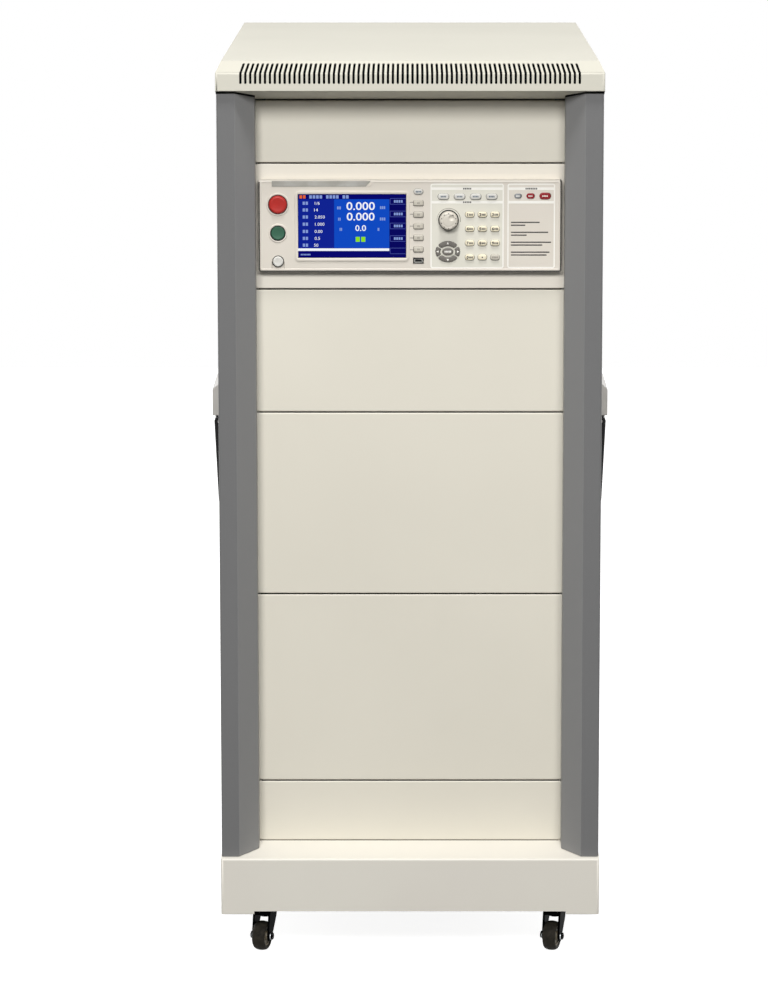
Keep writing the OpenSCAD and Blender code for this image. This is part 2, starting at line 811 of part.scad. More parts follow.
// Outlines of everything that passes through the bezel's front wall
module bezel_holes() {
    g = key_gap;
    translate([button_u, stop_v]) circle(stop_d / 2 + g);
    translate([button_u, start_v]) circle(start_d / 2 + g);
    translate([button_u, power_v]) circle(power_d / 2 + g);
    translate([display_u, display_v]) square([display_w, display_h], center = true);
    translate([soft_u, lock_v]) key_outline(lock_size, g);
    for (i = [-2 : 2]) translate([soft_u, soft_v + i * soft_pitch]) key_outline(soft_size, g);
    translate([soft_u, usb_v]) square([13.4, 6.4], center = true);
    for (i = [0 : 3]) translate([menu_u + (i - 1.5) * menu_pitch, menu_v]) key_outline(menu_size, g);
    translate([knob_u, knob_v]) circle(4);
    for (i = [-1 : 1], j = [-1.5 : 1.5])
        translate([number_u + i * number_pitch_u, number_v + j * number_pitch_v]) key_outline(number_size, g);
    translate([pad_u, pad_v]) {
        enter_outline(g);
        for (turn = [0, 180]) arrow_outline(turn, pad_wedge_side, g);
        for (turn = [90, 270]) arrow_outline(turn, pad_wedge_up, g);
    }
    for (i = [0 : 2]) translate([lamp_u[i], lamp_v]) round_rect(lamp_size[i][0], lamp_size[i][1], lamp_size[i][1] / 2 - 0.1);
}

// Moulded front of the tester with its holes, raised rims and screw posts
module tester_bezel() {
    color("#d8d1c7") difference() {
        union() {
            bezel_shell();
            on_bezel(display_u, display_v) along_y(bezel_y - 1.2, bezel_y + over) difference() {
                round_rect(display_rim_w, display_rim_h, 7);
                square([display_w, display_h], center = true);
            }
            on_bezel(button_u, stop_v) button_ring(stop_d / 2 + key_gap, 2.4, 0.8);
            on_bezel(button_u, start_v) button_ring(start_d / 2 + key_gap, 2.6, 0.8);
            for (u = post_u, v = post_v)
                on_bezel(u, v) along_y(bezel_back_y - 0.5, board_y - seat_gap) circle(3);
        }
        on_bezel(0, 0) along_y(bezel_y - 5, bezel_back_y + over) bezel_holes();
        on_bezel(button_u, 0) along_y(bezel_y - over, bezel_y + 1.4)
            rect([-8.2, -bezel_h / 2 - over], [8.2, power_v]);
        on_bezel(soft_u, usb_v) translate([0, bezel_y - 0.01, 0]) rotate([-90, 0, 0])
            along_z(0, 1) square([15.4, 8.9], center = true);
    }
}

// Display panel with a glass that fills the window
module display_module() {
    color("#0a48c0") on_bezel(display_u, display_v) {
        along_y(bezel_y + 1.2, bezel_back_y + 1)
            square([display_w - 2 * key_gap, display_h - 2 * key_gap], center = true);
        along_y(bezel_back_y + seat_gap, board_y - seat_gap)
            square([display_w + 6, display_h + 6], center = true);
    }
}

// Board behind the keys with the encoder bush and the socket's shell
module control_board() {
    color("#2f6b3a") {
        on_bezel(0, 0) along_y(board_y, board_y + board_t) difference() {
            round_rect(bezel_w - 2 * bezel_wall - 2, bezel_h - 2 * bezel_wall - 2, 2);
            translate([knob_u, knob_v]) circle(4);
        }
        on_bezel(knob_u, knob_v) along_y(bezel_back_y + seat_gap, board_y + 0.5) difference() {
            circle(7);
            circle(3 + run_gap);
        }
        on_bezel(soft_u, usb_v) along_y(bezel_y + 1.2, board_y + 0.5) difference() {
            square([13, 6], center = true);
            square([11.8, 4.8], center = true);
        }
    }
}

// Three lenses pressed in from behind
module indicator_lamps() {
    for (i = [0 : 2]) color(i == 0 ? "#8d8a84" : "#8a1f26") on_bezel(lamp_u[i], lamp_v) {
        w = lamp_size[i][0] - 2 * seat_gap;
        h = lamp_size[i][1] - 2 * seat_gap;
        along_y(bezel_y - 1.2, bezel_back_y + 0.5) round_rect(w, h, h / 2 - 0.1);
        along_y(bezel_back_y + seat_gap, board_y - seat_gap) round_rect(w + 2, h + 2, h / 2);
    }
}

// Steel case behind the front, open towards the board, with a mains inlet and slots at the back
module tester_case() {
    low_y = case_y;
    high_y = case_y + case_d;
    inlet = [28, 21];
    color("#c9c4b8") difference() {
        along_y(low_y, high_y) translate([0, tester_z]) round_rect(case_w, case_h, 3);
        along_y(low_y - over, high_y - case_t) translate([0, tester_z])
            round_rect(case_w - 2 * case_t, case_h - 2 * case_t, 1.5);
        along_y(high_y - case_t - over, high_y + over) {
            translate([inlet_u, tester_z + inlet_v]) square(inlet, center = true);
            for (i = [0 : 13]) translate([(60 + i * 8) * across, tester_z]) round_rect(4, 70 * up, 1.9);
        }
    }
    color(black) on_bezel(inlet_u, inlet_v) along_y(high_y - 18, high_y + 2) difference() {
        square([inlet[0] - 0.4, inlet[1] - 0.4], center = true);
        translate([0, 0.5]) square([22, 14], center = true);
    }
    color(black) on_bezel(inlet_u, inlet_v) {
        along_y(high_y - 20, high_y - 17) square([inlet[0] + 4, inlet[1] + 4], center = true);
        for (u = [-7, 0, 7]) along_y(high_y - 18, high_y - 3) translate([u, u == 0 ? 3 : -1]) square([2, 4], center = true);
    }
}

// Keys and buttons

// Cap that tapers from its full outline to a smaller face
module domed_key(size, proud) {
    shrink = 1.5;
    hull() {
        along_y(bezel_y - proud + 1, bezel_y - proud + 1.1) round_rect(size[0], size[1], size[2], $fn = 24);
        along_y(bezel_y - proud, bezel_y - proud + 0.1)
            round_rect(size[0] - shrink, size[1] - shrink, size[2] - shrink / 2, $fn = 24);
    }
    along_y(bezel_y - proud + 1.1, flange_y) round_rect(size[0], size[1], size[2]);
    along_y(flange_y, flange_y + flange_t) key_outline(size, flange_rim);
    key_stem(key_travel);
}

// Plunger that presses the contact on the board at the end of its travel
module key_stem(travel) {
    along_y(flange_y + flange_t, board_y - travel - move_gap) circle(1.6);
}

module number_key(col, row) {
    color("#efe6cc") on_bezel(number_u + col * number_pitch_u, number_v + row * number_pitch_v)
        domed_key(number_size, key_proud);
}

module menu_key(i) {
    color("#e6e3da") on_bezel(menu_u + (i - 1.5) * menu_pitch, menu_v) domed_key(menu_size, key_proud);
}

module soft_key(i) {
    color("#a9a294") on_bezel(soft_u, soft_v + (2 - i) * soft_pitch) domed_key(soft_size, key_proud - 1);
}

// Curved arrow key, stepped to a smaller face, with its plunger at the middle of its band
module arrow_key(turn, wedge) {
    proud = key_proud - 0.6;
    middle = turn % 180 == 0 ? (pad_a + pad_hole_a) / 2 : (pad_b + pad_hole_b) / 2;
    color("#6e6862") on_bezel(pad_u, pad_v) {
        along_y(bezel_y - proud, bezel_y - proud + 0.5) arrow_outline(turn, wedge, -0.5);
        along_y(bezel_y - proud + 0.5, flange_y) arrow_outline(turn, wedge, 0);
        along_y(flange_y, flange_y + flange_t) arrow_outline(turn, wedge, flange_rim);
        translate([middle * cos(turn), 0, middle * sin(turn)]) key_stem(key_travel);
    }
}

// Round button: chamfered cap and a flange behind the bezel
module round_button(r, proud, chamfer, travel) {
    cap_l = flange_y - bezel_y + proud;
    translate([0, bezel_y - proud, 0]) rotate([-90, 0, 0]) rotate_extrude()
        polygon([[0, 0], [r - chamfer, 0], [r, chamfer], [r, cap_l], [r + 1.2, cap_l], [r + 1.2, cap_l + flange_t],
            [0, cap_l + flange_t]]);
    key_stem(travel);
}

module stop_button() {
    color("#d43a34") on_bezel(button_u, stop_v) round_button(stop_d / 2, stop_proud, 1.6, button_travel);
}

module start_button() {
    color("#3b6b55") on_bezel(button_u, start_v) round_button(start_d / 2, start_proud, 1, button_travel);
}

module power_button() {
    color("#e3ddcf") on_bezel(button_u, power_v) round_button(power_d / 2, power_proud, 1.2, button_travel);
}

module lock_key() {
    color("#e6e3da") on_bezel(soft_u, lock_v) domed_key(lock_size, key_proud - 1);
}

// Knob with a skirt, a dished finger hole and its shaft
module knob() {
    r = knob_d / 2;
    shaft_l = board_y - bezel_y - move_gap;
    color("#d6d1c6") on_bezel(knob_u, knob_v) translate([0, bezel_y, 0]) rotate([90, 0, 0]) difference() {
        union() {
            translate([0, 0, 0.5]) rotate_extrude()
                polygon([[0, 0], [r + 1.8, 0], [r + 1.8, 2], [r, 2.6], [r, knob_l - 4], [r - 1.2, knob_l - 1.8],
                    [r - 3.2, knob_l - 0.9], [0, knob_l - 0.5]]);
            translate([0, 0, -shaft_l]) cylinder(r = 3, h = shaft_l + over);
        }
        translate([r * 0.42, r * 0.42, knob_l + 2.4]) sphere(r = 5);
        for (i = [0 : 13]) rotate(i * 360 / 14)
            translate([r, 0, knob_l - 3.4]) cylinder(r = 0.6, h = 5, $fn = 16);
    }
}

module soft_key_1() { soft_key(0); }
module soft_key_2() { soft_key(1); }
module soft_key_3() { soft_key(2); }
module soft_key_4() { soft_key(3); }
module soft_key_5() { soft_key(4); }
module menu_key_1() { menu_key(0); }
module menu_key_2() { menu_key(1); }
module menu_key_3() { menu_key(2); }
module menu_key_4() { menu_key(3); }
module number_key_1() { number_key(-1, 1.5); }
module number_key_2() { number_key(0, 1.5); }
module number_key_3() { number_key(1, 1.5); }
module number_key_4() { number_key(-1, 0.5); }
module number_key_5() { number_key(0, 0.5); }
module number_key_6() { number_key(1, 0.5); }
module number_key_7() { number_key(-1, -0.5); }
module number_key_8() { number_key(0, -0.5); }
module number_key_9() { number_key(1, -0.5); }
module number_key_0() { number_key(-1, -1.5); }
module point_key() { number_key(0, -1.5); }
module clear_key() { number_key(1, -1.5); }
module arrow_up_key() { arrow_key(90, pad_wedge_up); }
module arrow_down_key() { arrow_key(270, pad_wedge_up); }
module arrow_left_key() { arrow_key(180, pad_wedge_side); }
module arrow_right_key() { arrow_key(0, pad_wedge_side); }

module enter_key() {
    color("#6e6862") on_bezel(pad_u, pad_v) {
        along_y(bezel_y - key_proud, bezel_y - key_proud + 0.6) enter_outline(-0.6);
        along_y(bezel_y - key_proud + 0.6, flange_y) enter_outline(0);
        along_y(flange_y, flange_y + flange_t) enter_outline(flange_rim);
        key_stem(key_travel);
    }
}

base_frame();
top_cover();
front_pillar_left();
front_pillar_right();
rack_rails();
side_panels();
rear_frame();
rear_door();
door_latch();
tester_shelf();
blank_panels();
tester_panel();
handle_brackets();
handle_left();
handle_right();
caster_plates();
caster_fork_front_left();
caster_fork_front_right();
caster_fork_rear_left();
caster_fork_rear_right();
caster_wheel_front_left();
caster_wheel_front_right();
caster_wheel_rear_left();
caster_wheel_rear_right();
tester_case();
tester_bezel();
display_module();
control_board();
indicator_lamps();
knob();
stop_button();
start_button();
power_button();
lock_key();
soft_key_1();
soft_key_2();
soft_key_3();
soft_key_4();
soft_key_5();
menu_key_1();
menu_key_2();
menu_key_3();
menu_key_4();
number_key_0();
number_key_1();
number_key_2();
number_key_3();
number_key_4();
number_key_5();
number_key_6();
number_key_7();
number_key_8();
number_key_9();
point_key();
clear_key();
arrow_up_key();
arrow_down_key();
arrow_left_key();
arrow_right_key();
enter_key();
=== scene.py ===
# %% [markdown]
# # A rack cabinet on casters with an electrical safety tester
# The real object is a 19-inch cabinet of folded steel sheet. It carries blank panels and, near the top, a
# tester with a screen, keys and a knob. The solids come in ready made, in metres, standing on the floor with
# the front towards -Y. This script gives them their finishes, puts finely shaped keys, wheels and prints in
# their places, and sets up the light and the camera.

# %% Load the parts
from functools import partial
import json
import math
import bmesh
import bpy
import numpy as np
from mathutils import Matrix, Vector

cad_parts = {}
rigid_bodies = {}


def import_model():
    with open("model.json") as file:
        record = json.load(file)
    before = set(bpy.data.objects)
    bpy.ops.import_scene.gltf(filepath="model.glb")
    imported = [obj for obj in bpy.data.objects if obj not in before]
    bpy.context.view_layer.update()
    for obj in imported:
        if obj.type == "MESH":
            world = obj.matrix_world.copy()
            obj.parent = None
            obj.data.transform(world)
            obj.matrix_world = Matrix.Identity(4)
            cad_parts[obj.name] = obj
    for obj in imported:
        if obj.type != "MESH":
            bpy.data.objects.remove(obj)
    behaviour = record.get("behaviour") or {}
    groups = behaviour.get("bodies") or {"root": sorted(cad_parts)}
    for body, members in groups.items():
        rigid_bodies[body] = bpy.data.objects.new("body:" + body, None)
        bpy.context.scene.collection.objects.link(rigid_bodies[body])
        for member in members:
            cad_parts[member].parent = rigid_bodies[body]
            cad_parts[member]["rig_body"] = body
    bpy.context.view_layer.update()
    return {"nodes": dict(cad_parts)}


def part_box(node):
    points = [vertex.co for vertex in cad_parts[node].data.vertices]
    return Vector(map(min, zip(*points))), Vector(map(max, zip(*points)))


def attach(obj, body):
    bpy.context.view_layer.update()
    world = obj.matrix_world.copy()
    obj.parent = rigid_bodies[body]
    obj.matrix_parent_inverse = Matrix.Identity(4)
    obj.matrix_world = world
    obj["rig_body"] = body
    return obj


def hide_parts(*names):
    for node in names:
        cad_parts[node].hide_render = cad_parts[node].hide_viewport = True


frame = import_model()
nodes = frame["nodes"]

# %% [markdown]
# ## Camera
# The photograph looks slightly down on the front from well above the middle of the cabinet, and its upright
# lines stay parallel. A long lens far away with a shifted sensor gives that. The place, tilt and shift were
# fitted to the corners of the cover, the panels and the base.

# %% Camera
def placed(name, data):
    """A new object in the scene, made from a mesh, a text, a lamp or a camera."""
    made = bpy.data.objects.new(name, data)
    bpy.context.scene.collection.objects.link(made)
    return made


camera_data = bpy.data.cameras.new("camera")
camera_data.sensor_width = 36
camera_data.lens = 143.47
camera_data.shift_x = -0.0266
camera_data.shift_y = -0.1228
camera_data.clip_end = 60
camera = placed("camera", camera_data)
camera.location = (0, -5.78, 1.699)
camera.rotation_euler = (math.radians(90 - 8.982), 0, 0)
bpy.context.scene.camera = camera
bpy.context.scene.view_settings.view_transform = "Standard"
print("camera at", tuple(camera.location))

# %% [markdown]
# ## Finishes
# Nearly every surface here is a coat or a moulding, and both look alike in kind: one colour that drifts a
# little over a hand's width, a sheen that drifts with it, and a fine grain that breaks up the highlights. One
# recipe holds all three. Its sizes are real ones in millimetres, and it reads the object's own coordinates,
# so that the pattern stays on the piece wherever the piece goes.


# %% Colour and node helpers
def linear(colour):
    """Linear colour of an sRGB hex value: dark channels are divided by 12.92, brighter ones raised to 2.4."""
    channels = np.array([int(colour[i:i + 2], 16) for i in (1, 3, 5)]) / 255
    bright = ((channels + 0.055) / 1.055) ** 2.4
    return [float(c) for c in np.where(channels <= 0.04045, channels / 12.92, bright)] + [1.0]


def add(tree, kind, links=(), **settings):
    """Adds one node. settings are its own choices, and links pairs of a socket and its value or source."""
    node = tree.nodes.new("ShaderNode" + kind)
    for name, value in settings.items():
        setattr(node, name, value)
    for socket, source in links:
        if isinstance(source, bpy.types.NodeSocket):
            tree.links.new(source, node.inputs[socket])
        else:
            node.inputs[socket].default_value = source
    return node


# %% The recipe for a coat or a moulding
NOISE_RANGE = [("From Min", 0.3), ("From Max", 0.7)]  # nearly all of a noise lies between these
MIX_SHARE, MIX_FIRST, MIX_SECOND, MIX_OUT = 0, 6, 7, 2  # a colour Mix node's sockets and its output


def finish(name, colour, drift, patch_mm, roughness, spread, grain_mm, depth_mm, stretch=(1, 1, 1), **shader):
    """A finish whose colour drifts towards a second one in soft patches, whose roughness drifts with it by
    plus or minus spread, and whose grain stands depth_mm high. A stretch below 1 draws the grain out along
    that axis."""
    material = bpy.data.materials.new(name)
    material.use_nodes = True
    tree = material.node_tree
    place = add(tree, "TexCoord").outputs["Object"]
    patches = add(tree, "TexNoise", [("Vector", place), ("Scale", 1000 / patch_mm), ("Detail", 3.0)])
    share = add(tree, "MapRange", [("Value", patches.outputs["Fac"])] + NOISE_RANGE)
    mixed = add(tree, "Mix", [(MIX_SHARE, share.outputs["Result"]), (MIX_FIRST, linear(colour)),
                              (MIX_SECOND, linear(drift))], data_type="RGBA", name="tone")
    drawn = add(tree, "Mapping", [("Vector", place), ("Scale", stretch)])
    grain = add(tree, "TexNoise", [("Vector", drawn.outputs["Vector"]), ("Scale", 1000 / grain_mm),
                                   ("Detail", 2.0)])
    sheen = add(tree, "MapRange", [("Value", grain.outputs["Fac"]), ("To Min", roughness - spread),
                                   ("To Max", roughness + spread)] + NOISE_RANGE)
    bump = add(tree, "Bump", [("Height", grain.outputs["Fac"]), ("Distance", depth_mm / 1000)])
    surface = tree.nodes["Principled BSDF"]
    tree.links.new(mixed.outputs[MIX_OUT], surface.inputs["Base Color"])
    tree.links.new(sheen.outputs["Result"], surface.inputs["Roughness"])
    tree.links.new(bump.outputs["Normal"], surface.inputs["Normal"])
    for socket, value in shader.items():
        surface.inputs[socket.replace("_", " ")].default_value = value
    return material


# %% [markdown]
# ## Sheet metal
# The cover, base, sides and door are powder coated. The powder melts into a satin film with an orange-peel
# ripple about a millimetre wide, which shows as a soft, slightly broken highlight. The panels are aluminium
# under a thinner coat. The rails and the shelf are zinc plated, with a cloudy, cold grey shine.

# %% Metal finishes
dull = {"Specular_IOR_Level": 0.3}
powder_coat = finish("powder_coat_beige", "#dedacf", "#dad5cb", 240, 0.46, 0.05, 1.1, 0.02)
# painted shade: the cover takes a darker copy of the beige powder coat, which tones down the strong light on
# it
shaded_cover_coat = finish("powder_coat_cover", "#cdcabd", "#c9c6b9", 260, 0.52, 0.05, 1.1, 0.02, **dull)
panel_coat = finish("panel_coat_beige", "#dcd7c9", "#d8d3c5", 300, 0.44, 0.05, 0.8, 0.012)
# painted light: the tester's panel takes a lighter copy of the blank panels' coat
lit_tester_coat = finish("panel_coat_warm", "#f0eadd", "#ece5d8", 300, 0.44, 0.05, 0.8, 0.012)
zinc_plate = finish("zinc_plated_steel", "#b4b7b9", "#9fa3a6", 26, 0.34, 0.08, 2.5, 0.006, Metallic=1.0)
grey_enamel = finish("grey_enamel", "#c6c4c0", "#bdbab6", 60, 0.42, 0.05, 1.6, 0.03)
black_enamel = finish("black_enamel", "#040405", "#020203", 30, 0.42, 0.08, 1.0, 0.03, Specular_IOR_Level=0.01)
case_coat = finish("case_coat", "#c9c4b8", "#c1bcaf", 120, 0.5, 0.05, 1.2, 0.02)
print("metal finishes:", len(bpy.data.materials))

# %% [markdown]
# The pillars are drawn aluminium sections. The die leaves fine lines that run upwards. The flat outer face is
# painted darker than the slanting one: painted shade for the way the light falls on the two faces. The change
# lies at the crease, so the recipe's two colours are mixed by the distance from the middle of the cabinet
# instead of by patches.

# %% Pillar finish
low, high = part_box("front_pillar_right")
FLAT_SHARE, CREASE_BLUR = 0.48, 0.0003
PILLAR_OUT, PILLAR_IN = high.x, low.x
CREASE = PILLAR_OUT - FLAT_SHARE * (PILLAR_OUT - PILLAR_IN)
pillar_metal_shaded = finish("drawn_aluminium_grey", "#828282", "#6b6b6b", 160, 0.42, 0.05, 1.4, 0.01, (1, 1, 0.02),
                      **dull)
tree = pillar_metal_shaded.node_tree
parts = add(tree, "SeparateXYZ", [("Vector", add(tree, "TexCoord").outputs["Object"])])
away = add(tree, "Math", [(0, parts.outputs["X"])], operation="ABSOLUTE")
# mask of the painted shade: 1 on the flat outer face, 0 on the slanting one
outer = add(tree, "MapRange", [("Value", away.outputs[0]), ("From Min", CREASE - CREASE_BLUR),
                               ("From Max", CREASE + CREASE_BLUR)])
tree.links.new(outer.outputs["Result"], tree.nodes["tone"].inputs[MIX_SHARE])
print("pillar crease at", round(CREASE * 1000, 1), "mm from the middle")

# %% [markdown]
# ## Mouldings
# The tester's front, the knob and the buttons are ABS from a spark-eroded mould, matt and finely pitted. The
# keys are silicone, softer in sheen, so their round shoulders shade gently. The handles are glass-filled
# nylon with a coarser leather-like grain, and the tyres are rubber, which is dull and picks up pale dust.

# %% Plastic and rubber finishes
abs_beige = finish("moulded_abs_beige", "#d6cfc4", "#d2cbbf", 90, 0.5, 0.05, 0.6, 0.02)
abs_knob = finish("moulded_abs_knob", "#cec8bc", "#c5bfb3", 14, 0.36, 0.05, 0.5, 0.01)
abs_red = finish("moulded_abs_red", "#ad261f", "#a1211b", 12, 0.4, 0.05, 0.5, 0.01, **dull)
abs_green = finish("moulded_abs_green", "#2f5c47", "#2a5440", 12, 0.4, 0.05, 0.5, 0.01, **dull)
silicone = {
    "cream": finish("silicone_cream", "#e9e0c6", "#e2d9be", 9, 0.55, 0.04, 0.4, 0.01),
    "white": finish("silicone_white", "#d4d3cd", "#cdcbc4", 9, 0.55, 0.04, 0.4, 0.01),
    "grey": finish("silicone_grey", "#c0bbae", "#b8b2a5", 9, 0.55, 0.04, 0.4, 0.01),
    "dark": finish("silicone_dark", "#6a665f", "#5d5953", 9, 0.45, 0.05, 0.4, 0.01),
}
# black nylon, also the colour of the painted shade round keys and buttons
black_nylon_and_gap_shade = finish("moulded_nylon_black", "#09090b", "#050506", 20, 0.5, 0.08, 1.6, 0.08,
                     Specular_IOR_Level=0.2)
tyre_rubber = finish("tyre_rubber", "#191713", "#312d26", 7, 0.7, 0.08, 1.2, 0.12, Specular_IOR_Level=0.12)
hub_nylon = finish("moulded_nylon_tan", "#6f6552", "#625844", 10, 0.5, 0.06, 0.8, 0.02)
solder_mask = finish("solder_mask_green", "#2f6b3a", "#275c31", 12, 0.35, 0.06, 0.8, 0.01)
glassy = {"Specular_IOR_Level": 0.2, "Coat_Weight": 0.1}
lens_grey = finish("lens_grey", "#8a8c8e", "#808284", 6, 0.25, 0.04, 0.5, 0.004, **glassy)
lens_red = finish("lens_red", "#8e1d25", "#7f1820", 6, 0.25, 0.04, 0.5, 0.004, **glassy)
print("finishes so far:", len(bpy.data.materials))

# %% Give every solid its finish
finishes = [
    (powder_coat, "base_frame side_panels rear_frame rear_door"), (shaded_cover_coat, "top_cover"),
    (panel_coat, "blank_panels"), (lit_tester_coat, "tester_panel"), (case_coat, "tester_case"),
    (pillar_metal_shaded, "front_pillar"), (zinc_plate, "rack_rails tester_shelf door_latch"),
    (grey_enamel, "handle_brackets"), (black_nylon_and_gap_shade, "handle_left handle_right display_module"),
    (black_enamel, "caster_plates caster_fork"), (tyre_rubber, "caster_wheel"), (abs_beige, "tester_bezel"),
    (solder_mask, "control_board"), (abs_knob, "knob"), (abs_red, "stop_button"), (abs_green, "start_button"),
    (lens_red, "indicator_lamps"), (silicone["white"], "power_button lock_key menu_key"),
    (silicone["grey"], "clear_key soft_key"), (silicone["cream"], "point_key number_key"),
    (silicone["dark"], "enter_key arrow_")]
for material, starts in finishes:
    for name in [name for name in nodes if name.startswith(tuple(starts.split()))]:
        nodes[name].data.materials.clear()
        nodes[name].data.materials.append(material)
print("solids with a finish:", sum(len(solid.data.materials) for solid in nodes.values()))

# %% [markdown]
# ## Rounded edges
# Folded sheet and moulded pieces have no sharp edges, and it is the rounding that catches the light. A copy
# of the CAD mesh has its corners merged and its flat faces joined. Its long sharp edges are marked, and a
# bevel modifier rounds the marked ones. Normals weighted by area keep the large faces flat. The copy stands
# in for the solid.


# %% Softened copies
EDGE_TURN = 35


def smooth(mesh, turn):
    """Shades a mesh smooth but for the edges that turn by more than the given degrees."""
    mesh.polygons.foreach_set("use_smooth", np.ones(len(mesh.polygons), bool))
    mesh.set_sharp_from_angle(angle=math.radians(turn))


def softened(name, width_mm, least_mm):
    """A copy of a solid in which every edge that turns by more than EDGE_TURN degrees and is longer than
    least_mm is rounded to width_mm."""
    mesh = nodes[name].data.copy()
    work = bmesh.new()
    work.from_mesh(mesh)
    bmesh.ops.remove_doubles(work, verts=work.verts, dist=0.00002)
    bmesh.ops.dissolve_limit(work, angle_limit=math.radians(1), verts=work.verts, edges=work.edges)
    marks = work.edges.layers.float.new("bevel_weight_edge")
    for edge in work.edges:
        if edge.calc_face_angle(0.0) > math.radians(EDGE_TURN) and edge.calc_length() * 1000 > least_mm:
            edge[marks] = 1.0
    work.to_mesh(mesh)
    work.free()
    smooth(mesh, EDGE_TURN)
    made = placed(name + "_soft", mesh)
    bevel = made.modifiers.new("rounded edges", "BEVEL")
    bevel.limit_method, bevel.width, bevel.segments = "WEIGHT", width_mm / 1000, 2
    bevel.use_clamp_overlap, bevel.harden_normals = False, False
    flat = made.modifiers.new("flat faces", "WEIGHTED_NORMAL")
    flat.keep_sharp = True
    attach(made, nodes[name]["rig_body"])
    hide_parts(name)


# how wide the edges of a solid are rounded, and from what length on, in millimetres
soft_edges = {"base_frame": (1.0, 12), "top_cover": (0.8, 60), "front_pillar_left": (0.9, 8),
              "front_pillar_right": (0.9, 8), "blank_panels": (0.9, 8), "tester_panel": (0.9, 8),
              "tester_bezel": (0.7, 20), "side_panels": (0.5, 8), "rear_door": (1.2, 15),
              "handle_brackets": (1.2, 0), "handle_left": (2.0, 3), "handle_right": (2.0, 3),
              "door_latch": (0.6, 1)}
soft_edges.update({name: (0.8, 1) for name in nodes if name.startswith("caster_fork")})
for name, (width, least) in soft_edges.items():
    softened(name, width, least)
print("softened copies:", len(soft_edges))

# %% [markdown]
# ## Leaning vent slots
# In the photograph the cover's slots are a little wider than in the solid, and above the bend they lean
# towards the middle, the more the further out they are. In the cover's copy every corner of a slot keeps its
# height and depth and moves sideways only, so the sheet's faces stay flat.

# %% Vent slots
SLOTS, MARGIN = 70, 31.0
SLOT_WIDEN, ROW_SHARE, LEAN = 1.3, 0.982, 0.019
BEND_DROP, ROOF_DROP = 15.5, 2.5  # the bend and the slots' upper ends, below the cover's top


def corners_of(mesh):
    """All corners of a mesh in millimetres, a row for each."""
    flat = np.zeros(len(mesh.vertices) * 3)
    mesh.vertices.foreach_get("co", flat)
    return flat.reshape(-1, 3) * 1000


cover = bpy.data.objects["top_cover_soft"].data
x, y, z = corners_of(cover).T
low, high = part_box("top_cover")
cover_side, cover_face, cover_top = high.x * 1000, low.y * 1000, high.z * 1000
bend_z, roof_z = cover_top - BEND_DROP, cover_top - ROOF_DROP
row = 2 * (cover_side - MARGIN)
pitch = row / (SLOTS - 1)
slotted = (np.abs(x) < row / 2 + 3) & (y < cover_face + 30) & (z > bend_z - 20) & (z < roof_z)
centre = (np.round(x / pitch - 0.5) + 0.5) * pitch
rise = np.clip((z - bend_z) / (roof_z - bend_z), 0, 1)
leaning = centre * ROW_SHARE * (1 - LEAN * rise) + (x - centre) * SLOT_WIDEN
cover.vertices.foreach_set("co", np.stack([np.where(slotted, leaning, x), y, z], -1).ravel() / 1000)
cover.update()
print("corners of slots moved:", int(slotted.sum()))

# %% [markdown]
# ## Shapes from rings
# A key, a button, a rim and a wheel are all one idea: an outline that changes a little as it rises. So each
# is a stack of rings with the same number of points, skinned with quads. The shape is worked out in
# millimetres as whole arrays, and only the last step turns it into a mesh in metres.


# %% Rings and skins
def ellipse(angles, half_width, half_height):
    """Points of an ellipse at the given angles: cosine times one half axis, sine times the other."""
    return np.stack([half_width * np.cos(angles), half_height * np.sin(angles)], -1)


def rounded_rectangle(width, height, radius, steps=6):
    """Outline of a rectangle with round corners, anticlockwise about the origin: four quarter circles, each
    about a corner of the rectangle that is smaller by the radius all round."""
    turn = np.radians(np.linspace(0, 90, steps + 1)[None] + np.array([[0], [90], [180], [270]]))
    corner = np.array([[1, 1], [-1, 1], [-1, -1], [1, -1]]) * [width / 2 - radius, height / 2 - radius]
    return (corner[:, None] + ellipse(turn, radius, radius)).reshape(-1, 2)


def oval(half_width, half_height, steps=48):
    """Outline of an ellipse, anticlockwise."""
    return ellipse(np.linspace(0, 2 * np.pi, steps, endpoint=False), half_width, half_height)


def rounded(width, height, radius, shrink=1.0, least=0.4, steps=6):
    """Outlines of a rounded rectangle at any inset, its radius smaller by a share of the inset."""
    return lambda inset: rounded_rectangle(width - 2 * inset, height - 2 * inset,
                                           max(radius - shrink * inset, least), steps)


HOLLOW = {"start": False, "end": False}  # for a skin that stays open at both ends


def skin(rings, start=True, end=True, closed=True):
    """Joins a stack of equal rings, or of open rows, with quads between neighbours, and closes the first and
    last ring with one face."""
    rings = np.asarray(rings, float)
    count, points = rings.shape[:2]
    row, column = np.meshgrid(np.arange(count - 1), np.arange(points if closed else points - 1), indexing="ij")
    here, beside = row * points + column, row * points + (column + 1) % points
    faces = np.stack([here, beside, beside + points, here + points], -1).reshape(-1, 4).tolist()
    faces += [list(range(points))[::-1]] if start else []
    faces += [list(range((count - 1) * points, count * points))] if end else []
    return rings.reshape(-1, 3), faces


def raised(outline, profile, **ends):
    """A shape that rises through pairs of an inset and a height. outline gives the ring at an inset."""
    return skin([np.insert(outline(inset), 2, height, axis=1) for inset, height in profile], **ends)


def moved(shape, x, y, z=0.0):
    """A shape moved by the given millimetres."""
    return shape[0] + (x, y, z), shape[1]


def together(shapes):
    """Several shapes as one: all points in one array, each one's faces counted from where its points begin."""
    starts = np.cumsum([0] + [len(points) for points, _ in shapes[:-1]])
    faces = [[start + i for i in face] for start, (_, own) in zip(starts, shapes) for face in own]
    return np.concatenate([points for points, _ in shapes]), faces


# %% From a shape to a piece
SHARP_TURN = 38


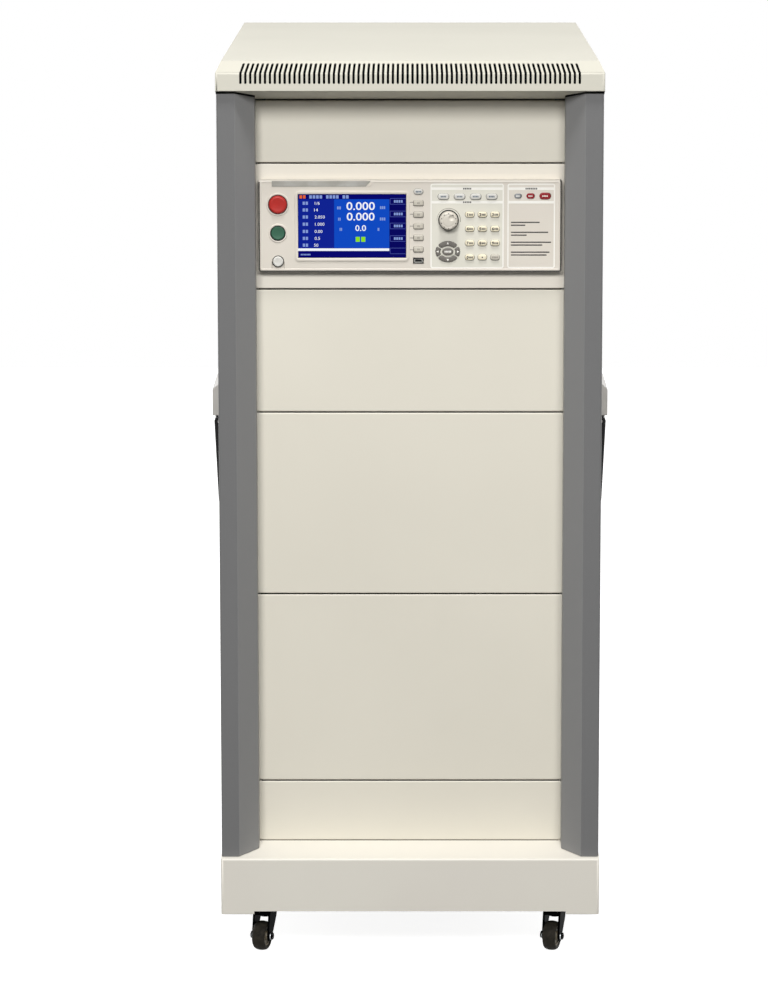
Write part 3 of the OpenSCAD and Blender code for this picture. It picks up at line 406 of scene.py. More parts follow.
def piece(name, shape, material, body, replaces=()):
    """Makes a mesh in metres, smooth but for edges that turn by over SHARP_TURN, and hangs it on a body."""
    points, faces = shape
    mesh = bpy.data.meshes.new(name)
    mesh.from_pydata((np.asarray(points) / 1000).tolist(), [], faces)
    smooth(mesh, SHARP_TURN)
    mesh.materials.append(material)
    made = placed(name, mesh)
    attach(made, body)
    if replaces:
        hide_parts(*replaces)
    return made


# %% [markdown]
# ## Where the tester's front is
# The bezel's box gives the middle of the front. Its rim stands 1.2 mm proud of the face, so the face lies
# that much behind the box. From here on a place on the front is given as millimetres across and up from the
# middle, and a height above the face. The keys' places are read from their solids.

# %% The tester's front
RIM = 1.2
low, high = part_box("tester_bezel")
front_w, front_h = (high.x - low.x) * 1000, (high.z - low.z) * 1000
front_y, front_z = low.y * 1000 + RIM, (low.z + high.z) * 500
print("front face at y", round(front_y, 2), "mm, middle at z", round(front_z, 2), "mm")


def middle(name):
    """Middle of a solid, in millimetres across and up from the middle of the front."""
    low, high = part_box(name)
    return (low.x + high.x) * 500, (low.z + high.z) * 500 - front_z


def front_piece(name, shape, material, place=(0, 0), body="root", replaces=()):
    """Stands a flat-lying shape on the front about a place: its y becomes up, and its height the way to the
    viewer. It belongs to the fixed front unless a body is named."""
    x, y, height = shape[0].T
    points = np.stack([x + place[0], front_y - height, y + front_z + place[1]], -1)
    piece(name, (points, shape[1]), material, body, replaces)


def cap(node, shape, material, place):
    """The fine shape that takes the place of a key's or button's solid and moves with it."""
    front_piece(node + "_cap", shape, material, place, node, [node])


# %% [markdown]
# ## Prints on the front
# Silk-screened lines group the keys: a white frame round the menu and number keys, another to its right, and
# thin dark leaders from the screen's boxes to the soft keys. A print is a film of ink, so these are plates a
# twentieth of a millimetre high. Where the object has words there are rows of small blocks, or nothing.

# %% Inks and plates
ink_white = finish("screen_print_white", "#f1efe8", "#ebe8e0", 30, 0.5, 0.03, 0.5, 0.002)
ink_field = finish("screen_print_field", "#d8d5c9", "#d4d1c4", 60, 0.5, 0.04, 0.6, 0.01)
ink_dark = finish("screen_print_dark", "#35322e", "#2c2926", 20, 0.5, 0.03, 0.5, 0.002)
# grey ink, also the colour of the painted shade along the power button's channel
grey_ink_and_shade = finish("screen_print_grey", "#8d877c", "#857f74", 20, 0.5, 0.03, 0.5, 0.002)
FIELD, PRINT, OVERPRINT = 0.03, 0.06, 0.1  # how high a field, a line and a print over a line stand


def plates(rectangles, height, thickness=0.04):
    """Thin plates with their tops at one height, from rows of left, bottom, right, top. All corners are
    picked from the rows at once."""
    rows = np.asarray(rectangles, float)
    x, y = rows[:, [0, 2, 2, 0, 0, 2, 2, 0]], rows[:, [1, 1, 3, 3, 1, 1, 3, 3]]
    z = np.broadcast_to([height - thickness] * 4 + [height] * 4, x.shape)
    sides = np.array([[3, 2, 1, 0], [4, 5, 6, 7], [0, 1, 5, 4], [1, 2, 6, 5], [2, 3, 7, 6], [3, 0, 4, 7]])
    faces = (sides[None] + 8 * np.arange(len(rows))[:, None, None]).reshape(-1, 4).tolist()
    return np.stack([x, y, z], -1).reshape(-1, 3), faces


def blocks(across, up, width, height, count):
    """Rows for plates: equal blocks side by side about a middle, with gaps of a quarter of their pitch."""
    pitch = width / count
    left = across - width / 2 + pitch * (np.arange(count) + 0.125)
    low = np.full(count, up - height / 2)
    return np.stack([left, low, left + pitch * 0.75, low + height], -1).tolist()


def band(outline, width, height):
    """A closed strip of the given width along the inside of an outline, from the face up to the height."""
    return raised(outline, [(0, 0), (0, height), (width, height), (width, 0), (0, 0)], **HOLLOW)


# %% Frames and headings
BOTTOM, TOP, CORNER, LINE = -59.7, 59.5, 3, 1.7
HEADING, RULE = 52.4, 33.4
lamp_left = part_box("indicator_lamps")[0].x * 1000
entry_u, test_u = middle("number_key_1")[0] - 3.75, lamp_left + 23.75
boxes = [(entry_u, 102.5), (test_u, 66.5)]  # middle and width of each frame


def standing(across, width, shape_of):
    """A shape made from the outlines of a box of the given width that stands from BOTTOM to TOP."""
    return moved(shape_of(rounded(width, TOP - BOTTOM, CORNER)), across, (BOTTOM + TOP) / 2)


field_print = standing(*boxes[0], lambda outline: raised(outline, [(0, 0), (0, FIELD)]))
front_piece("print_field", field_print, ink_field)
frames = [standing(*box, lambda outline: band(outline, LINE, PRINT)) for box in boxes]
front_piece("print_frames", together(frames), ink_white)
rules = [(u - width / 2 + 1.2, v - 1.8, u + width / 2 - 1.2, v + 1.8)
         for u, width in boxes for v in (HEADING, RULE)]
front_piece("print_rules", plates(rules, PRINT + 0.01), ink_white)
headings = (blocks(entry_u, HEADING, 12, 2.3, 5) + blocks(entry_u, RULE, 12, 2.3, 5)
            + blocks(test_u, HEADING, 17, 2.3, 7))
front_piece("print_headings", plates(headings, OVERPRINT), ink_dark)
print("frames:", len(frames), "rules:", len(rules))

# %% Leaders, ruled lines and painted shade at the channel
soft_u = middle("soft_key_1")[0]
leader_v = [middle("soft_key_%d" % (i + 1))[1] + shift for i, shift in enumerate((0.9, 0.5, 0, -0.4, -0.8))]
leaders = [(soft_u - 12.4, v - 0.35, soft_u - 6.9, v + 0.35) for v in leader_v]
front_piece("print_leaders", plates(leaders, PRINT), ink_dark)
ruled_left = test_u - 28.25
lines = [(ruled_left, v - 0.9, ruled_left + length, v + 0.9) for v, length in (
    (5, 40), (1, 20), (-9, 52), (-13, 22), (-23, 56), (-27, 44), (-37, 54), (-41, 50))]
front_piece("print_ruled_lines", plates(lines, PRINT), ink_dark)
power_u, power_v = middle("power_button")
# painted shade: thin grey lines along both sides of the power button's channel
channel = [(u - 0.4, BOTTOM - 1.5, u + 0.4, power_v) for u in (power_u - 8.6, power_u + 8.6)]
front_piece("channel_edges", plates(channel, PRINT), grey_ink_and_shade)
print("leaders:", len(leaders), "ruled lines:", len(lines))

# %% [markdown]
# A dark edge on the left, right and lower side of the front is painted shade: the shade along the front's
# sides and under its lower edge. It is one section carried along the lower part of the front's outline, from
# one upper corner down and round to the other.

# %% Dark edge
STEPS = 6
section = [(-0.05, -11.0), (-0.05, 0.1), (0.3, 0.3), (1.7, 0.3), (2.0, 0.1), (2.0, -0.6)]
rings = []
for inset, height in section:
    outline = np.roll(rounded(front_w, front_h, 3, 0.9, steps=STEPS)(inset), -STEPS * 2 - 1, axis=0)
    rings.append(np.insert(outline[:-STEPS - 1], 2, height, axis=1))
# the colour of the painted shade along the front's edge
shade_trim = finish("anodised_dark_grey", "#403e39", "#383632", 40, 0.45, 0.05, 0.6, 0.006, **dull)
front_piece("front_edge", skin(np.stack(rings, 1)), shade_trim)
swell = [(1.6, -0.6), (1.7, 0.0), (2.2, 0.4), (3.0, 0.62), (3.8, 0.62), (4.4, 0.4), (4.8, -0.05)]
shoulder = raised(rounded(front_w, front_h, 3.4, 0.6, 0.8), swell, **HOLLOW)
front_piece("front_shoulder", shoulder, abs_beige)
print("front edge:", len(rings[0]), "sections")

# %% [markdown]
# The strip at the upper left is thin brushed aluminium with a slanted end, left bare here. Beside it the
# front steps up along a short slant. The knob has a faint scale: an arc over its upper half that grows wider
# to the right.

# %% Strip and scale
brushed = finish("brushed_aluminium", "#aeaca8", "#939189", 30, 0.36, 0.08, 1.2, 0.004, (0.04, 1, 1),
                 Metallic=0.4)
display = middle("display_module")
STRIP_LOW, STRIP_HIGH, STRIP_LEFT = 55.4, 63.2, -193.3
strip_right = display[0] + 22.8


def slanted(low_left, low_right, high_right, high_left, profile):
    """A low plate between the strip's lower and upper line. Its corners move inwards by the inset."""
    corners = np.array([(low_left, STRIP_LOW), (low_right, STRIP_LOW), (high_right, STRIP_HIGH),
                        (high_left, STRIP_HIGH)])
    inward = corners.mean(0) - corners
    inward /= np.linalg.norm(inward, axis=1)[:, None]
    return raised(lambda inset: corners + inward * inset, profile)


strip = slanted(STRIP_LEFT, strip_right - 3.5, strip_right + 3.5, STRIP_LEFT, [(0, 0), (0, 0.65), (0.3, 0.8)])
front_piece("name_strip", strip, brushed)
step = slanted(strip_right - 0.2, strip_right + 1.6, strip_right + 9.4, strip_right + 7.0,
               [(0, 0), (0, 0.7), (0.3, 0.9)])
front_piece("strip_step", step, abs_beige)
knob = middle("knob")
SCALE = 16
way = ellipse(np.radians(np.linspace(185, -10, 60)), 1, 1)
widths = np.linspace(0.35, 1.1, 60)[:, None]
arc = np.concatenate([SCALE * way, ((SCALE + widths) * way)[::-1]])
front_piece("knob_scale", skin([np.insert(arc, 2, h, axis=1) for h in (FIELD, PRINT)]), grey_ink_and_shade, place=knob)
print("strip and scale made")

# %% [markdown]
# ## Keys
# Each rubber key has a flange behind the front, straight sides in its hole and a soft shoulder that runs into
# a flat top. The CAD key has the same size with stepped edges, so the finer key takes its place and moves
# with its body. The dark line round a key is painted shade: a black band on the face round its hole, drawn
# a little lower than the key, so that it is wider below, where the key's shadow falls.

# %% Key shape
FLANGE_BACK, FLANGE_FRONT, FLANGE_RIM = -4.3, -3.3, 0.8
# width of the painted shade round a key, and how much lower than the key it is drawn
GAP, SHADOW_DROP = 0.5, 0.3
gap_shadows = []


def quarter(width, rise, top, steps=7):
    """A profile that bends inwards by the width along a quarter ellipse, up to the top."""
    bend = np.radians(np.linspace(0, 90, steps))
    return list(zip(width * (1 - np.cos(bend)), top - rise * (1 - np.sin(bend))))


def key(outline, proud, shoulder=1.5):
    """Flange, straight side, and a shoulder that bends inwards to the flat top."""
    profile = [(-FLANGE_RIM, FLANGE_BACK), (-FLANGE_RIM, FLANGE_FRONT), (0, FLANGE_FRONT)]
    return raised(outline, profile + quarter(shoulder, shoulder * 0.85, proud, 6))


def note_gap_shadow(outline, place):
    """Notes the painted shade round a key: a dark band, a little lower than the key so that it is wider below,
    for the piece that shows all of them.
    """
    line = band(lambda inset: outline(inset - GAP), GAP - 0.1, OVERPRINT)
    gap_shadows.append(moved(line, place[0], place[1] - SHADOW_DROP))


# %% Rubber keys
# width, height and corner radius of a key, and how proud it stands
number_size = (12.6, 7.8, 3.4), 2.6
key_kinds = {"soft_key": ((13.5, 7.8, 1.6), 1.6), "lock_key": ((12.5, 7.5, 3.6), 1.6),
             "menu_key": ((15.4, 8.2, 4.0), 2.6), "number_key": number_size, "point_key": number_size,
             "clear_key": number_size}
kind_of = {node: node.rstrip("_0123456789") for node in sorted(nodes)}
for node, kind in kind_of.items():
    if kind in key_kinds:
        size, proud = key_kinds[kind]
        cap(node, key(rounded(*size), proud), nodes[node].data.materials[0], middle(node))
        note_gap_shadow(rounded(*size), middle(node))
print("rubber keys:", len(gap_shadows))

# %% [markdown]
# Four curved keys lie round an oval one. A curved key is a sector of an oval ring. Its corners are rounded by
# averaging each point of a dense outline with its neighbours, which leaves the long curves as they are.

# %% Arrow keys
PAD, PAD_HOLE, ENTER, ARROW = (16.9, 14.7), (11, 8.2), (7.9, 5.2), (2.232, 1.86)
pad = middle("enter_key")


def pad_reach(turn):
    """From the pad's middle to the middle of a key at its side (0 or 180 degrees), above or below."""
    axis = 0 if turn % 180 == 0 else 1
    return (PAD[axis] + PAD_HOLE[axis]) / 2


def sector(turn, half_angle, inset, dense=60, blur=5):
    """Outline of a sector of an oval ring: out along the outer ellipse, back along the inner one, each
    shifted by the inset, with the straight ends moved in as much and the corners averaged round."""
    reach = math.radians(half_angle) - inset / pad_reach(turn)
    angle = math.radians(turn) + np.linspace(-reach, reach, dense)
    outer = ellipse(angle, PAD[0] - inset, PAD[1] - inset)
    inner = ellipse(angle, PAD_HOLE[0] + inset, PAD_HOLE[1] + inset)[::-1]
    side = np.linspace(0, 1, 12)[1:-1, None]
    outline = np.concatenate([outer, outer[-1] * (1 - side) + inner[0] * side, inner,
                              inner[-1] * (1 - side) + outer[0] * side])
    return np.mean([np.roll(outline, shift, axis=0) for shift in range(-blur, blur + 1)], axis=0)


def arrow(turn):
    """A flat triangle on a key, turned to point outwards: both of its axes are turned and it moves out."""
    a = math.radians(turn)
    axes = np.array([[math.cos(a), math.sin(a)], [-math.sin(a), math.cos(a)]])
    return raised(lambda inset: oval(*ARROW, 3) @ axes + pad_reach(turn) * axes[0], [(0, 1.95), (0, 2.04)])


def ovals(half_width, half_height, steps=48):
    """Outlines of an ellipse at any inset."""
    return lambda inset: oval(half_width - inset, half_height - inset, steps)


for name, turn, half_angle in (("up", 90, 52), ("down", 270, 52), ("left", 180, 28), ("right", 0, 28)):
    node, outline = "arrow_%s_key" % name, partial(sector, turn, half_angle)
    cap(node, key(outline, 2.0, 1.1), silicone["dark"], pad)
    note_gap_shadow(outline, pad)
    front_piece(node + "_sign", arrow(turn), ink_white, pad, node)
cap("enter_key", key(ovals(*ENTER), 2.6), silicone["dark"], pad)
front_piece("enter_key_sign", plates(blocks(0, 0, 9.6, 2.6, 5), 2.64), ink_white, pad, "enter_key")
print("arrow pad: 5 keys")

# %% [markdown]
# ## Buttons
# The stop button is a red cap that stands proud, the start button lies almost flush in a raised ring, and the
# power button sits in a channel. Each is turned from one profile and has a shallow dish for the finger.


# %% Turned shapes
def turned(profile, **ends):
    """Turns a profile of radius and height about the height axis. A face closes the first and last ring."""
    return raised(lambda radius: oval(radius, radius, 64), profile, **ends)


def button(radius, proud, edge, dish):
    """Flange, straight side, a quarter-round edge and a top that sinks by dish to its middle as a parabola."""
    rim = [(radius - inset, height) for inset, height in quarter(edge, edge, proud)]
    top = [((radius - edge) * s, proud - dish * (1 - s * s)) for s in np.linspace(1, 0.04, 9)[1:]]
    flange = [(radius + 1.2, FLANGE_BACK), (radius + 1.2, FLANGE_FRONT), (radius, FLANGE_FRONT)]
    return turned(flange + rim + top)


# radius, how proud, radius of the edge, depth of the dish, material, and how high the gap's line lies
buttons = [("stop_button", 12.75, 5.0, 3.2, 0.9, abs_red, 0.95),
           ("start_button", 9.8, 0.6, 1.4, 0.9, abs_green, 0.95),
           ("power_button", 7.2, 2.4, 1.6, 0.3, silicone["white"], OVERPRINT)]
for node, radius, proud, edge, dish, material, level in buttons:
    cap(node, button(radius, proud, edge, dish), material, middle(node))
    # painted shade: a dark ring round each button; then all the painted shade round keys and buttons as one
    # piece
    gap_shadows.append(moved(band(ovals(radius + 1.1, radius + 1.1, 64), 1.0, level), *middle(node)))
front_piece("key_gaps", together(gap_shadows), black_nylon_and_gap_shade)
print("buttons:", len(buttons), "gaps:", len(gap_shadows))

# %% [markdown]
# ## Knob
# The knob is a satin disc on a black skirt. Its top has a ring of ten dark dots, a shallow groove and, to the
# upper right, a round dimple for a fingertip. The side has shallow flutes. Flutes and dimple are waves that
# are added to the turned shape: the flutes to its radius, the dimple to its height.

# %% Knob
SKIRT_TOP, KNOB_TOP, FLUTES, DOTS = 2.4, 13.4, 20, 10
DIMPLE_X, DIMPLE_Y, DIMPLE_R, DIMPLE_DEPTH = 4.0, 4.2, 4.1, 2.0
angles = np.linspace(0, 2 * np.pi, 160, endpoint=False)
knob_profile = np.array([
    (12.9, SKIRT_TOP), (13.0, 3.4), (12.9, 9.4), (12.7, 10.8), (12.2, 12.0), (11.6, 12.7), (10.8, 13.1),
    (9.8, 13.2), (8.7, 13.2), (8.4, 12.95), (8.0, 12.95), (7.7, 13.2), (7.0, 13.3), (6.2, 13.34), (5.3, 13.36),
    (4.4, 13.38), (3.5, KNOB_TOP), (2.6, KNOB_TOP), (1.7, KNOB_TOP), (0.8, KNOB_TOP), (0.05, KNOB_TOP)])
radii, heights = knob_profile[:, :1], knob_profile[:, 1:]
grip = np.clip((heights - 3.0) / 0.6, 0, 1) * np.clip((12.8 - heights) / 1.4, 0, 1)
flute = 0.35 * grip * np.clip(np.cos(FLUTES * angles) * 3 - 1.6, 0, 1)
x, y = (radii - flute) * np.cos(angles), (radii - flute) * np.sin(angles)
away = ((x - DIMPLE_X) ** 2 + (y - DIMPLE_Y) ** 2) / DIMPLE_R ** 2
dimple = DIMPLE_DEPTH * np.clip(1 - away, 0, 1) * (heights > 12.4)
disc = skin(np.stack([x, y, np.broadcast_to(heights, x.shape) - dimple], -1))
front_piece("knob_disc", disc, abs_knob, knob, "knob", ["knob"])
skirt = turned([(3.0, -8.6), (3.0, 0.5), (14.2, 0.5), (14.35, 1.0), (14.2, 1.9), (13.6, SKIRT_TOP),
                (3.0, SKIRT_TOP + 0.1)])
front_piece("knob_skirt", skirt, black_nylon_and_gap_shade, knob, "knob", ["knob"])
turn = np.radians(270 + np.arange(DOTS) * 360 / DOTS)
dot = raised(ovals(0.75, 0.75, 12), [(0, 13.0), (0, 13.25), (0.15, 13.3)])
dots = [moved(dot, *place) for place in ellipse(turn, 10.4, 10.4)]
front_piece("knob_dots", together(dots), ink_dark, knob, "knob")
print("knob rings:", len(knob_profile), "dots:", DOTS)

# %% [markdown]
# ## Lamps and the USB socket
# A lamp is an oval lens pressed into the front, domed so that it catches a small highlight. The socket is a
# pale shell with a black tongue in it, behind a black frame whose sides are pinched in the middle.

# %% Lamps
# how far a lens lies from the left end of the lamps, its width and height, and its material
lamps = [(4.9, (9.8, 7.0), lens_grey), (22.5, (11.3, 7.7), lens_red), (42.9, (15.9, 9.8), lens_red)]
lamp_v = middle("indicator_lamps")[1]
dome = [(0, -4.0), (0, 0.4)] + quarter(2.2, 0.8, 1.2)
for number, (shift, (width, height), lens) in enumerate(lamps, 1):
    shape = raised(rounded(width, height, height / 2 - 0.1), dome)
    front_piece("lamp_lens_%d" % number, shape, lens, (lamp_left + shift, lamp_v),
                replaces=["indicator_lamps"])
signs = sum([blocks(lamp_left + shift, lamp_v, 0.52 * size[0], 1.7, 4) for shift, size, _ in lamps], [])
front_piece("lamp_signs", plates(signs, 1.24), ink_white)
print("lamps:", len(lamps))

# %% Socket
USB_WIDTH, USB_HEIGHT, PINCH = 16, 7.8, 0.2
usb = (soft_u, -49.0)


def pinched(inset):
    """A rounded rectangle whose width shrinks by a fifth halfway up, as a parabola of the height."""
    outline = rounded(USB_WIDTH, USB_HEIGHT, 0.9, least=0.2)(inset)
    share = 1 - PINCH * (1 - (outline[:, 1] * 2 / USB_HEIGHT) ** 2)
    return outline * np.stack([share, np.ones(len(outline))], -1)


frame_ring = raised(pinched, [(0, 0), (0, 0.5), (0.25, 0.65), (1.5, 0.65), (1.5, -0.8)], **HOLLOW)
front_piece("usb_frame", frame_ring, black_nylon_and_gap_shade, usb)
wall = [(0, -8.4), (0, 0.3), (0.15, 0.4), (0.7, 0.4), (0.85, 0.3), (0.85, -8.4)]
shell = raised(rounded(11.6, 5.6, 0.6), wall, **HOLLOW)
front_piece("usb_shell", shell, silicone["white"], usb)
back = raised(rounded(11.5, 5.5, 0.5), [(0, -8.4), (0, -5.0)])
front_piece("usb_back", back, black_nylon_and_gap_shade, usb)
tongue = raised(rounded(9.4, 1.5, 0.2), [(0, -5.2), (0, -0.2), (0.2, 0.0)])
front_piece("usb_tongue", moved(tongue, 0, 0.2), black_nylon_and_gap_shade, usb)
print("socket made")

# %% [markdown]
# ## Rims
# The display sits behind a moulded frame that bulges softly between its window and its outer edge, and the
# stop and start buttons have low rings. Each is a profile carried round a rounded outline, laid over the
# plainer CAD rim.

# %% Display frame and button rings
bulge = np.linspace(0, 1, 9)
frame_profile = [(0, 0.0)] + list(zip(4.4 * bulge, RIM * 0.55 + 0.8 * np.sin(np.pi * bulge) ** 0.6))
frame_profile.append((4.45, -1.25))
window = raised(rounded(160.7, 99.2, 7, 1.35, steps=8), frame_profile, **HOLLOW)
front_piece("display_frame", window, abs_beige, place=display)
gasket = moved(band(rounded(151.9, 90.3, 1.1, 0), 0.7, 0.06), 0, 0, -1.2)
front_piece("display_gasket", gasket, black_nylon_and_gap_shade, display)
low_rings = {"stop": 13.85, "start": 10.9}
across_ring = np.radians(np.linspace(0, 180, 9))
for name, radius in low_rings.items():
    ring = list(zip(radius + 1.2 + 1.2 * np.cos(across_ring), 1.15 * np.sin(across_ring) - 0.02))
    front_piece(name + "_ring", turned(ring, **HOLLOW), abs_beige, place=middle(name + "_button"))
print("rims:", 1 + len(low_rings))

# %% [markdown]
# ## The screen
# A lit screen is light from behind black glass, so its colours are given off and not reflected. The picture
# is built from thin plates and figures: a dark header, a column of settings, a brighter field with three
# readings, and a column of five boxes. Words are left out: rows of blocks stand for them.


# %% Glowing colours and figures
def glowing(name, colour):
    """A screen colour: black glass with a trace of grain that gives off the colour."""
    return finish(name, "#010102", "#020203", 60, 0.3, 0.02, 0.5, 0.001, Specular_IOR_Level=0.02,
                  Emission_Color=linear(colour), Emission_Strength=1.0)


def figures(text, height, place, top, widen=1.0, bold=0.0):
    """Digits of the given height about a place: the font's filled outline is scaled and laid flat at top."""
    curve = bpy.data.curves.new("figures", "FONT")
    curve.body, curve.resolution_u, curve.offset = text, 3, bold
    holder = placed("figures", curve)
    bpy.context.view_layer.update()
    mesh = bpy.data.meshes.new_from_object(holder.evaluated_get(bpy.context.evaluated_depsgraph_get()))
    flat = corners_of(mesh)[:, :2]
    faces = [list(face.vertices) for face in mesh.polygons]
    bpy.data.objects.remove(holder)
    bpy.data.meshes.remove(mesh)
    flat = (flat - (flat.max(0) + flat.min(0)) / 2) * (height / np.ptp(flat[:, 1])) * (widen, 1) + place
    return np.insert(flat, 2, top, axis=1), faces


print("figures of 1.0 are", len(figures("1.0", 5, (0, 0), 0)[0]), "points")

# %% Screen picture
SCREEN_W, SCREEN_H, GLASS = 151.6, 90.0, -1.2
screen_left, screen_top = display[0] - SCREEN_W / 2, display[1] + SCREEN_H / 2
nodes["display_module"].data.materials[0] = glowing("screen_navy", "#00006a")
column, field = glowing("screen_column", "#0a2090"), glowing("screen_field", "#0a48c0")
side_boxes, white_light = glowing("screen_boxes", "#00005c"), glowing("screen_white", "#f2f5fb")
pale_light, lime = glowing("screen_pale", "#8399d4"), glowing("screen_green", "#8ede1c")
orange, edge_light = glowing("screen_orange", "#e0622a"), glowing("screen_edge", "#4a56a8")


def screen(name, rectangles, level, colour):
    """Plates on the screen, given as left, top, right, bottom in millimetres from its upper left corner."""
    rows = np.asarray(rectangles, float)
    flipped = np.stack([screen_left + rows[:, 0], screen_top - rows[:, 3], screen_left + rows[:, 2],
                        screen_top - rows[:, 1]], -1)
    front_piece(name, plates(flipped, GLASS + 0.05 * level), colour)


def letters(left, top, right, bottom, count):
    """Blocks like letters between a left and a right edge, as rows for the screen."""
    return blocks((left + right) / 2, (top + bottom) / 2, right - left, bottom - top, count)


screen("screen_column", [(0, 7.4, 50.7, 76.4)], 1, column)
screen("screen_field", [(50.7, 7.4, 128.0, 76.4)], 1, field)
screen("screen_boxes", [(128.4, 3.0, SCREEN_W, 88)], 1, side_boxes)
rows_y = [13.0, 22.5, 32.4, 42.5, 52.7, 62.5, 72.1]
words = sum([letters(6.2, y - 2.2, 14.6, y + 2.2, 2) for y in rows_y], [])
words += sum([letters(left, y - 2, right, y + 2, count) for left, right, count, y in (
    (54.5, 60.5, 2, 19.6), (114.6, 122.4, 3, 19.2), (56.0, 60.0, 2, 35.4), (114.4, 122.6, 3, 35.2),
    (58.0, 62.0, 2, 49.8), (111.0, 114.4, 1, 49.8))], [])
screen("screen_words", words + letters(3.6, 84.4, 17.6, 86.4, 7), 2, pale_light)
header = letters(15.4, 1.8, 34.6, 6.4, 4) + letters(39, 1.8, 57.6, 6.4, 4) + letters(62, 1.8, 71.6, 6.4, 2)
screen("screen_header", header, 2, pale_light)
screen("screen_item", letters(1.8, 1.8, 11.4, 6.4, 2), 2, orange)
screen("screen_bar", [(0, 76.6, 127.8, 80.2)], 2, white_light)
screen("screen_status", letters(79.8, 60.3, 95.3, 67.4, 2), 2, lime)
boxes_y = [10.4, 28.1, 45.0, 62.7, 80.2]
edges = sum([[(129.4, y - 4.3, 151, y - 3.7), (129.4, y + 3.7, 151, y + 4.3), (128.8, y - 4.0, 129.4, y + 4.0)]
             for y in boxes_y], [])
screen("screen_box_edges", edges, 2, edge_light)
box_words = sum([letters(134, y - 1.8, 147, y + 1.8, 4) for y in boxes_y[:4]], [])
screen("screen_box_words", box_words, 3, pale_light)
readings = [("0.000", 11.4, (87.8, 17.0), 1.16), ("0.000", 11.2, (87.8, 31.8), 1.16),
            ("0.0", 8.4, (87.8, 48.0), 1.1)]
values = ["1/6", "14", "2.050", "1.000", "0.00", "0.5", "50"]
shapes = [figures(text, size, (screen_left + x, screen_top - y), GLASS + 0.1, widen, 0.012)
          for text, size, (x, y), widen in readings]
shapes += [figures(text, 4.2, (screen_left + 22 + 1.7 * len(text), screen_top - y), GLASS + 0.1, 1.1)
           for text, y in zip(values, rows_y)]
front_piece("screen_figures", together(shapes), white_light)
print("screen pieces made, figures:", len(shapes))

# %% Signs on the keys
ink_blue = finish("screen_print_blue", "#4a5866", "#434f5c", 20, 0.5, 0.03, 0.5, 0.002)
LOW_SIGN, HIGH_SIGN = 1.64, 2.64
# width and number of a sign's blocks, how high they lie, and their ink
key_signs = {"soft_key": (3.6, 2, LOW_SIGN, grey_ink_and_shade), "lock_key": (8.2, 4, LOW_SIGN, ink_blue),
             "menu_key": (8.2, 4, HIGH_SIGN, ink_blue), "clear_key": (8.2, 4, HIGH_SIGN, grey_ink_and_shade)}
signed = 0
for node, kind in kind_of.items():
    if kind == "number_key":
        digit = figures(node[-1], 4.4, (-3.0, 0), HIGH_SIGN, 1.0, 0.05)
        sign, ink = together([digit, plates(blocks(1.6, -0.2, 5.6, 2.6, 3), HIGH_SIGN)]), ink_dark
    elif kind == "point_key":
        sign, ink = plates([(-0.9, -0.9, 0.9, 0.9)], HIGH_SIGN), ink_dark
    elif kind in key_signs:
        width, count, level, ink = key_signs[kind]
        sign = plates(blocks(0, 0, width, 2.3, count), level)
    else:
        continue
    front_piece(node + "_sign", sign, ink, middle(node), node)
    signed += 1
print("signs:", signed)

# %% [markdown]
# ## Casters
# A small swivel caster has a pressed fork, a moulded hub and a rubber tyre with a crowned tread. The tyre and
# the hub are two profiles turned about the axle, which stands across the cabinet and a little askew, as the
# photograph shows. Domed nuts close the axle's ends.

# %% Tyres, hubs and axle nuts
TURN = math.radians(162)
axle = np.array([math.cos(TURN), math.sin(TURN), 0])
sideways = np.array([-math.sin(TURN), math.cos(TURN), 0])
upwards = np.array([0, 0, 1.0])
LEG_FACE = 13.1


def spun(profile, centre, steps=72, **ends):
    """Turns pairs of radius and distance along the axle about it: centre plus the distance along the axle,
    plus the radius times cosine sideways and sine upwards."""
    turn = np.linspace(0, 2 * np.pi, steps, endpoint=False)[None, :, None]
    radius, along = np.array(profile)[:, :1, None], np.array(profile)[:, 1:, None]
    rings = centre + along * axle + radius * (np.cos(turn) * sideways + np.sin(turn) * upwards)
    return skin(rings, **ends)


bend = np.radians(np.linspace(-90, 90, 15))
tread = [(16.6 + 4.4 * math.cos(a) ** 0.8, 9.4 * math.sin(a)) for a in bend]
tyre_profile = [(13.8, -7.6), (15.2, -9.0)] + tread + [(15.2, 9.0), (13.8, 7.6), (13.8, -7.6)]
half_hub = [(3.1, 9.5), (6.2, 9.5), (6.8, 8.6), (7.2, 6.2), (11.8, 5.6), (12.6, 7.4), (14.2, 7.7)]
hub_profile = [(r, -a) for r, a in half_hub] + half_hub[::-1] + [(3.1, -9.5)]
nut_profile = [(0.1, 3.6), (2.0, 3.5), (3.6, 3.1), (4.6, 2.2), (5.15, 1.0), (5.15, 0.0)]
corners = ("front_left", "front_right", "rear_left", "rear_right")
for name in corners:
    fork, wheel = "caster_fork_" + name, "caster_wheel_" + name
    low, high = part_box(wheel)
    centre = np.array((low + high) / 2) * 1000
    for part, profile, material in (("tyre_", tyre_profile, tyre_rubber), ("hub_", hub_profile, hub_nylon)):
        shape = spun(profile, centre, **HOLLOW)
        piece(part + name, shape, material, wheel, [wheel])
    outer = spun([(r, LEG_FACE + a) for r, a in nut_profile[::-1]], centre, 32, start=False)
    inner = spun([(r, -LEG_FACE - a) for r, a in nut_profile], centre, 32, end=False)
    piece("axle_nuts_" + name, together([outer, inner]), zinc_plate, fork)
print("casters:", len(corners))

# %% [markdown]
# ## Louvres and screws
# The back door breathes through pressed louvres: each slot has a hood that sheds water, a quarter of a long
# egg. The side panels are held by low pan-head screws. Both are repeated many times, so each has only a few
# dozen faces.

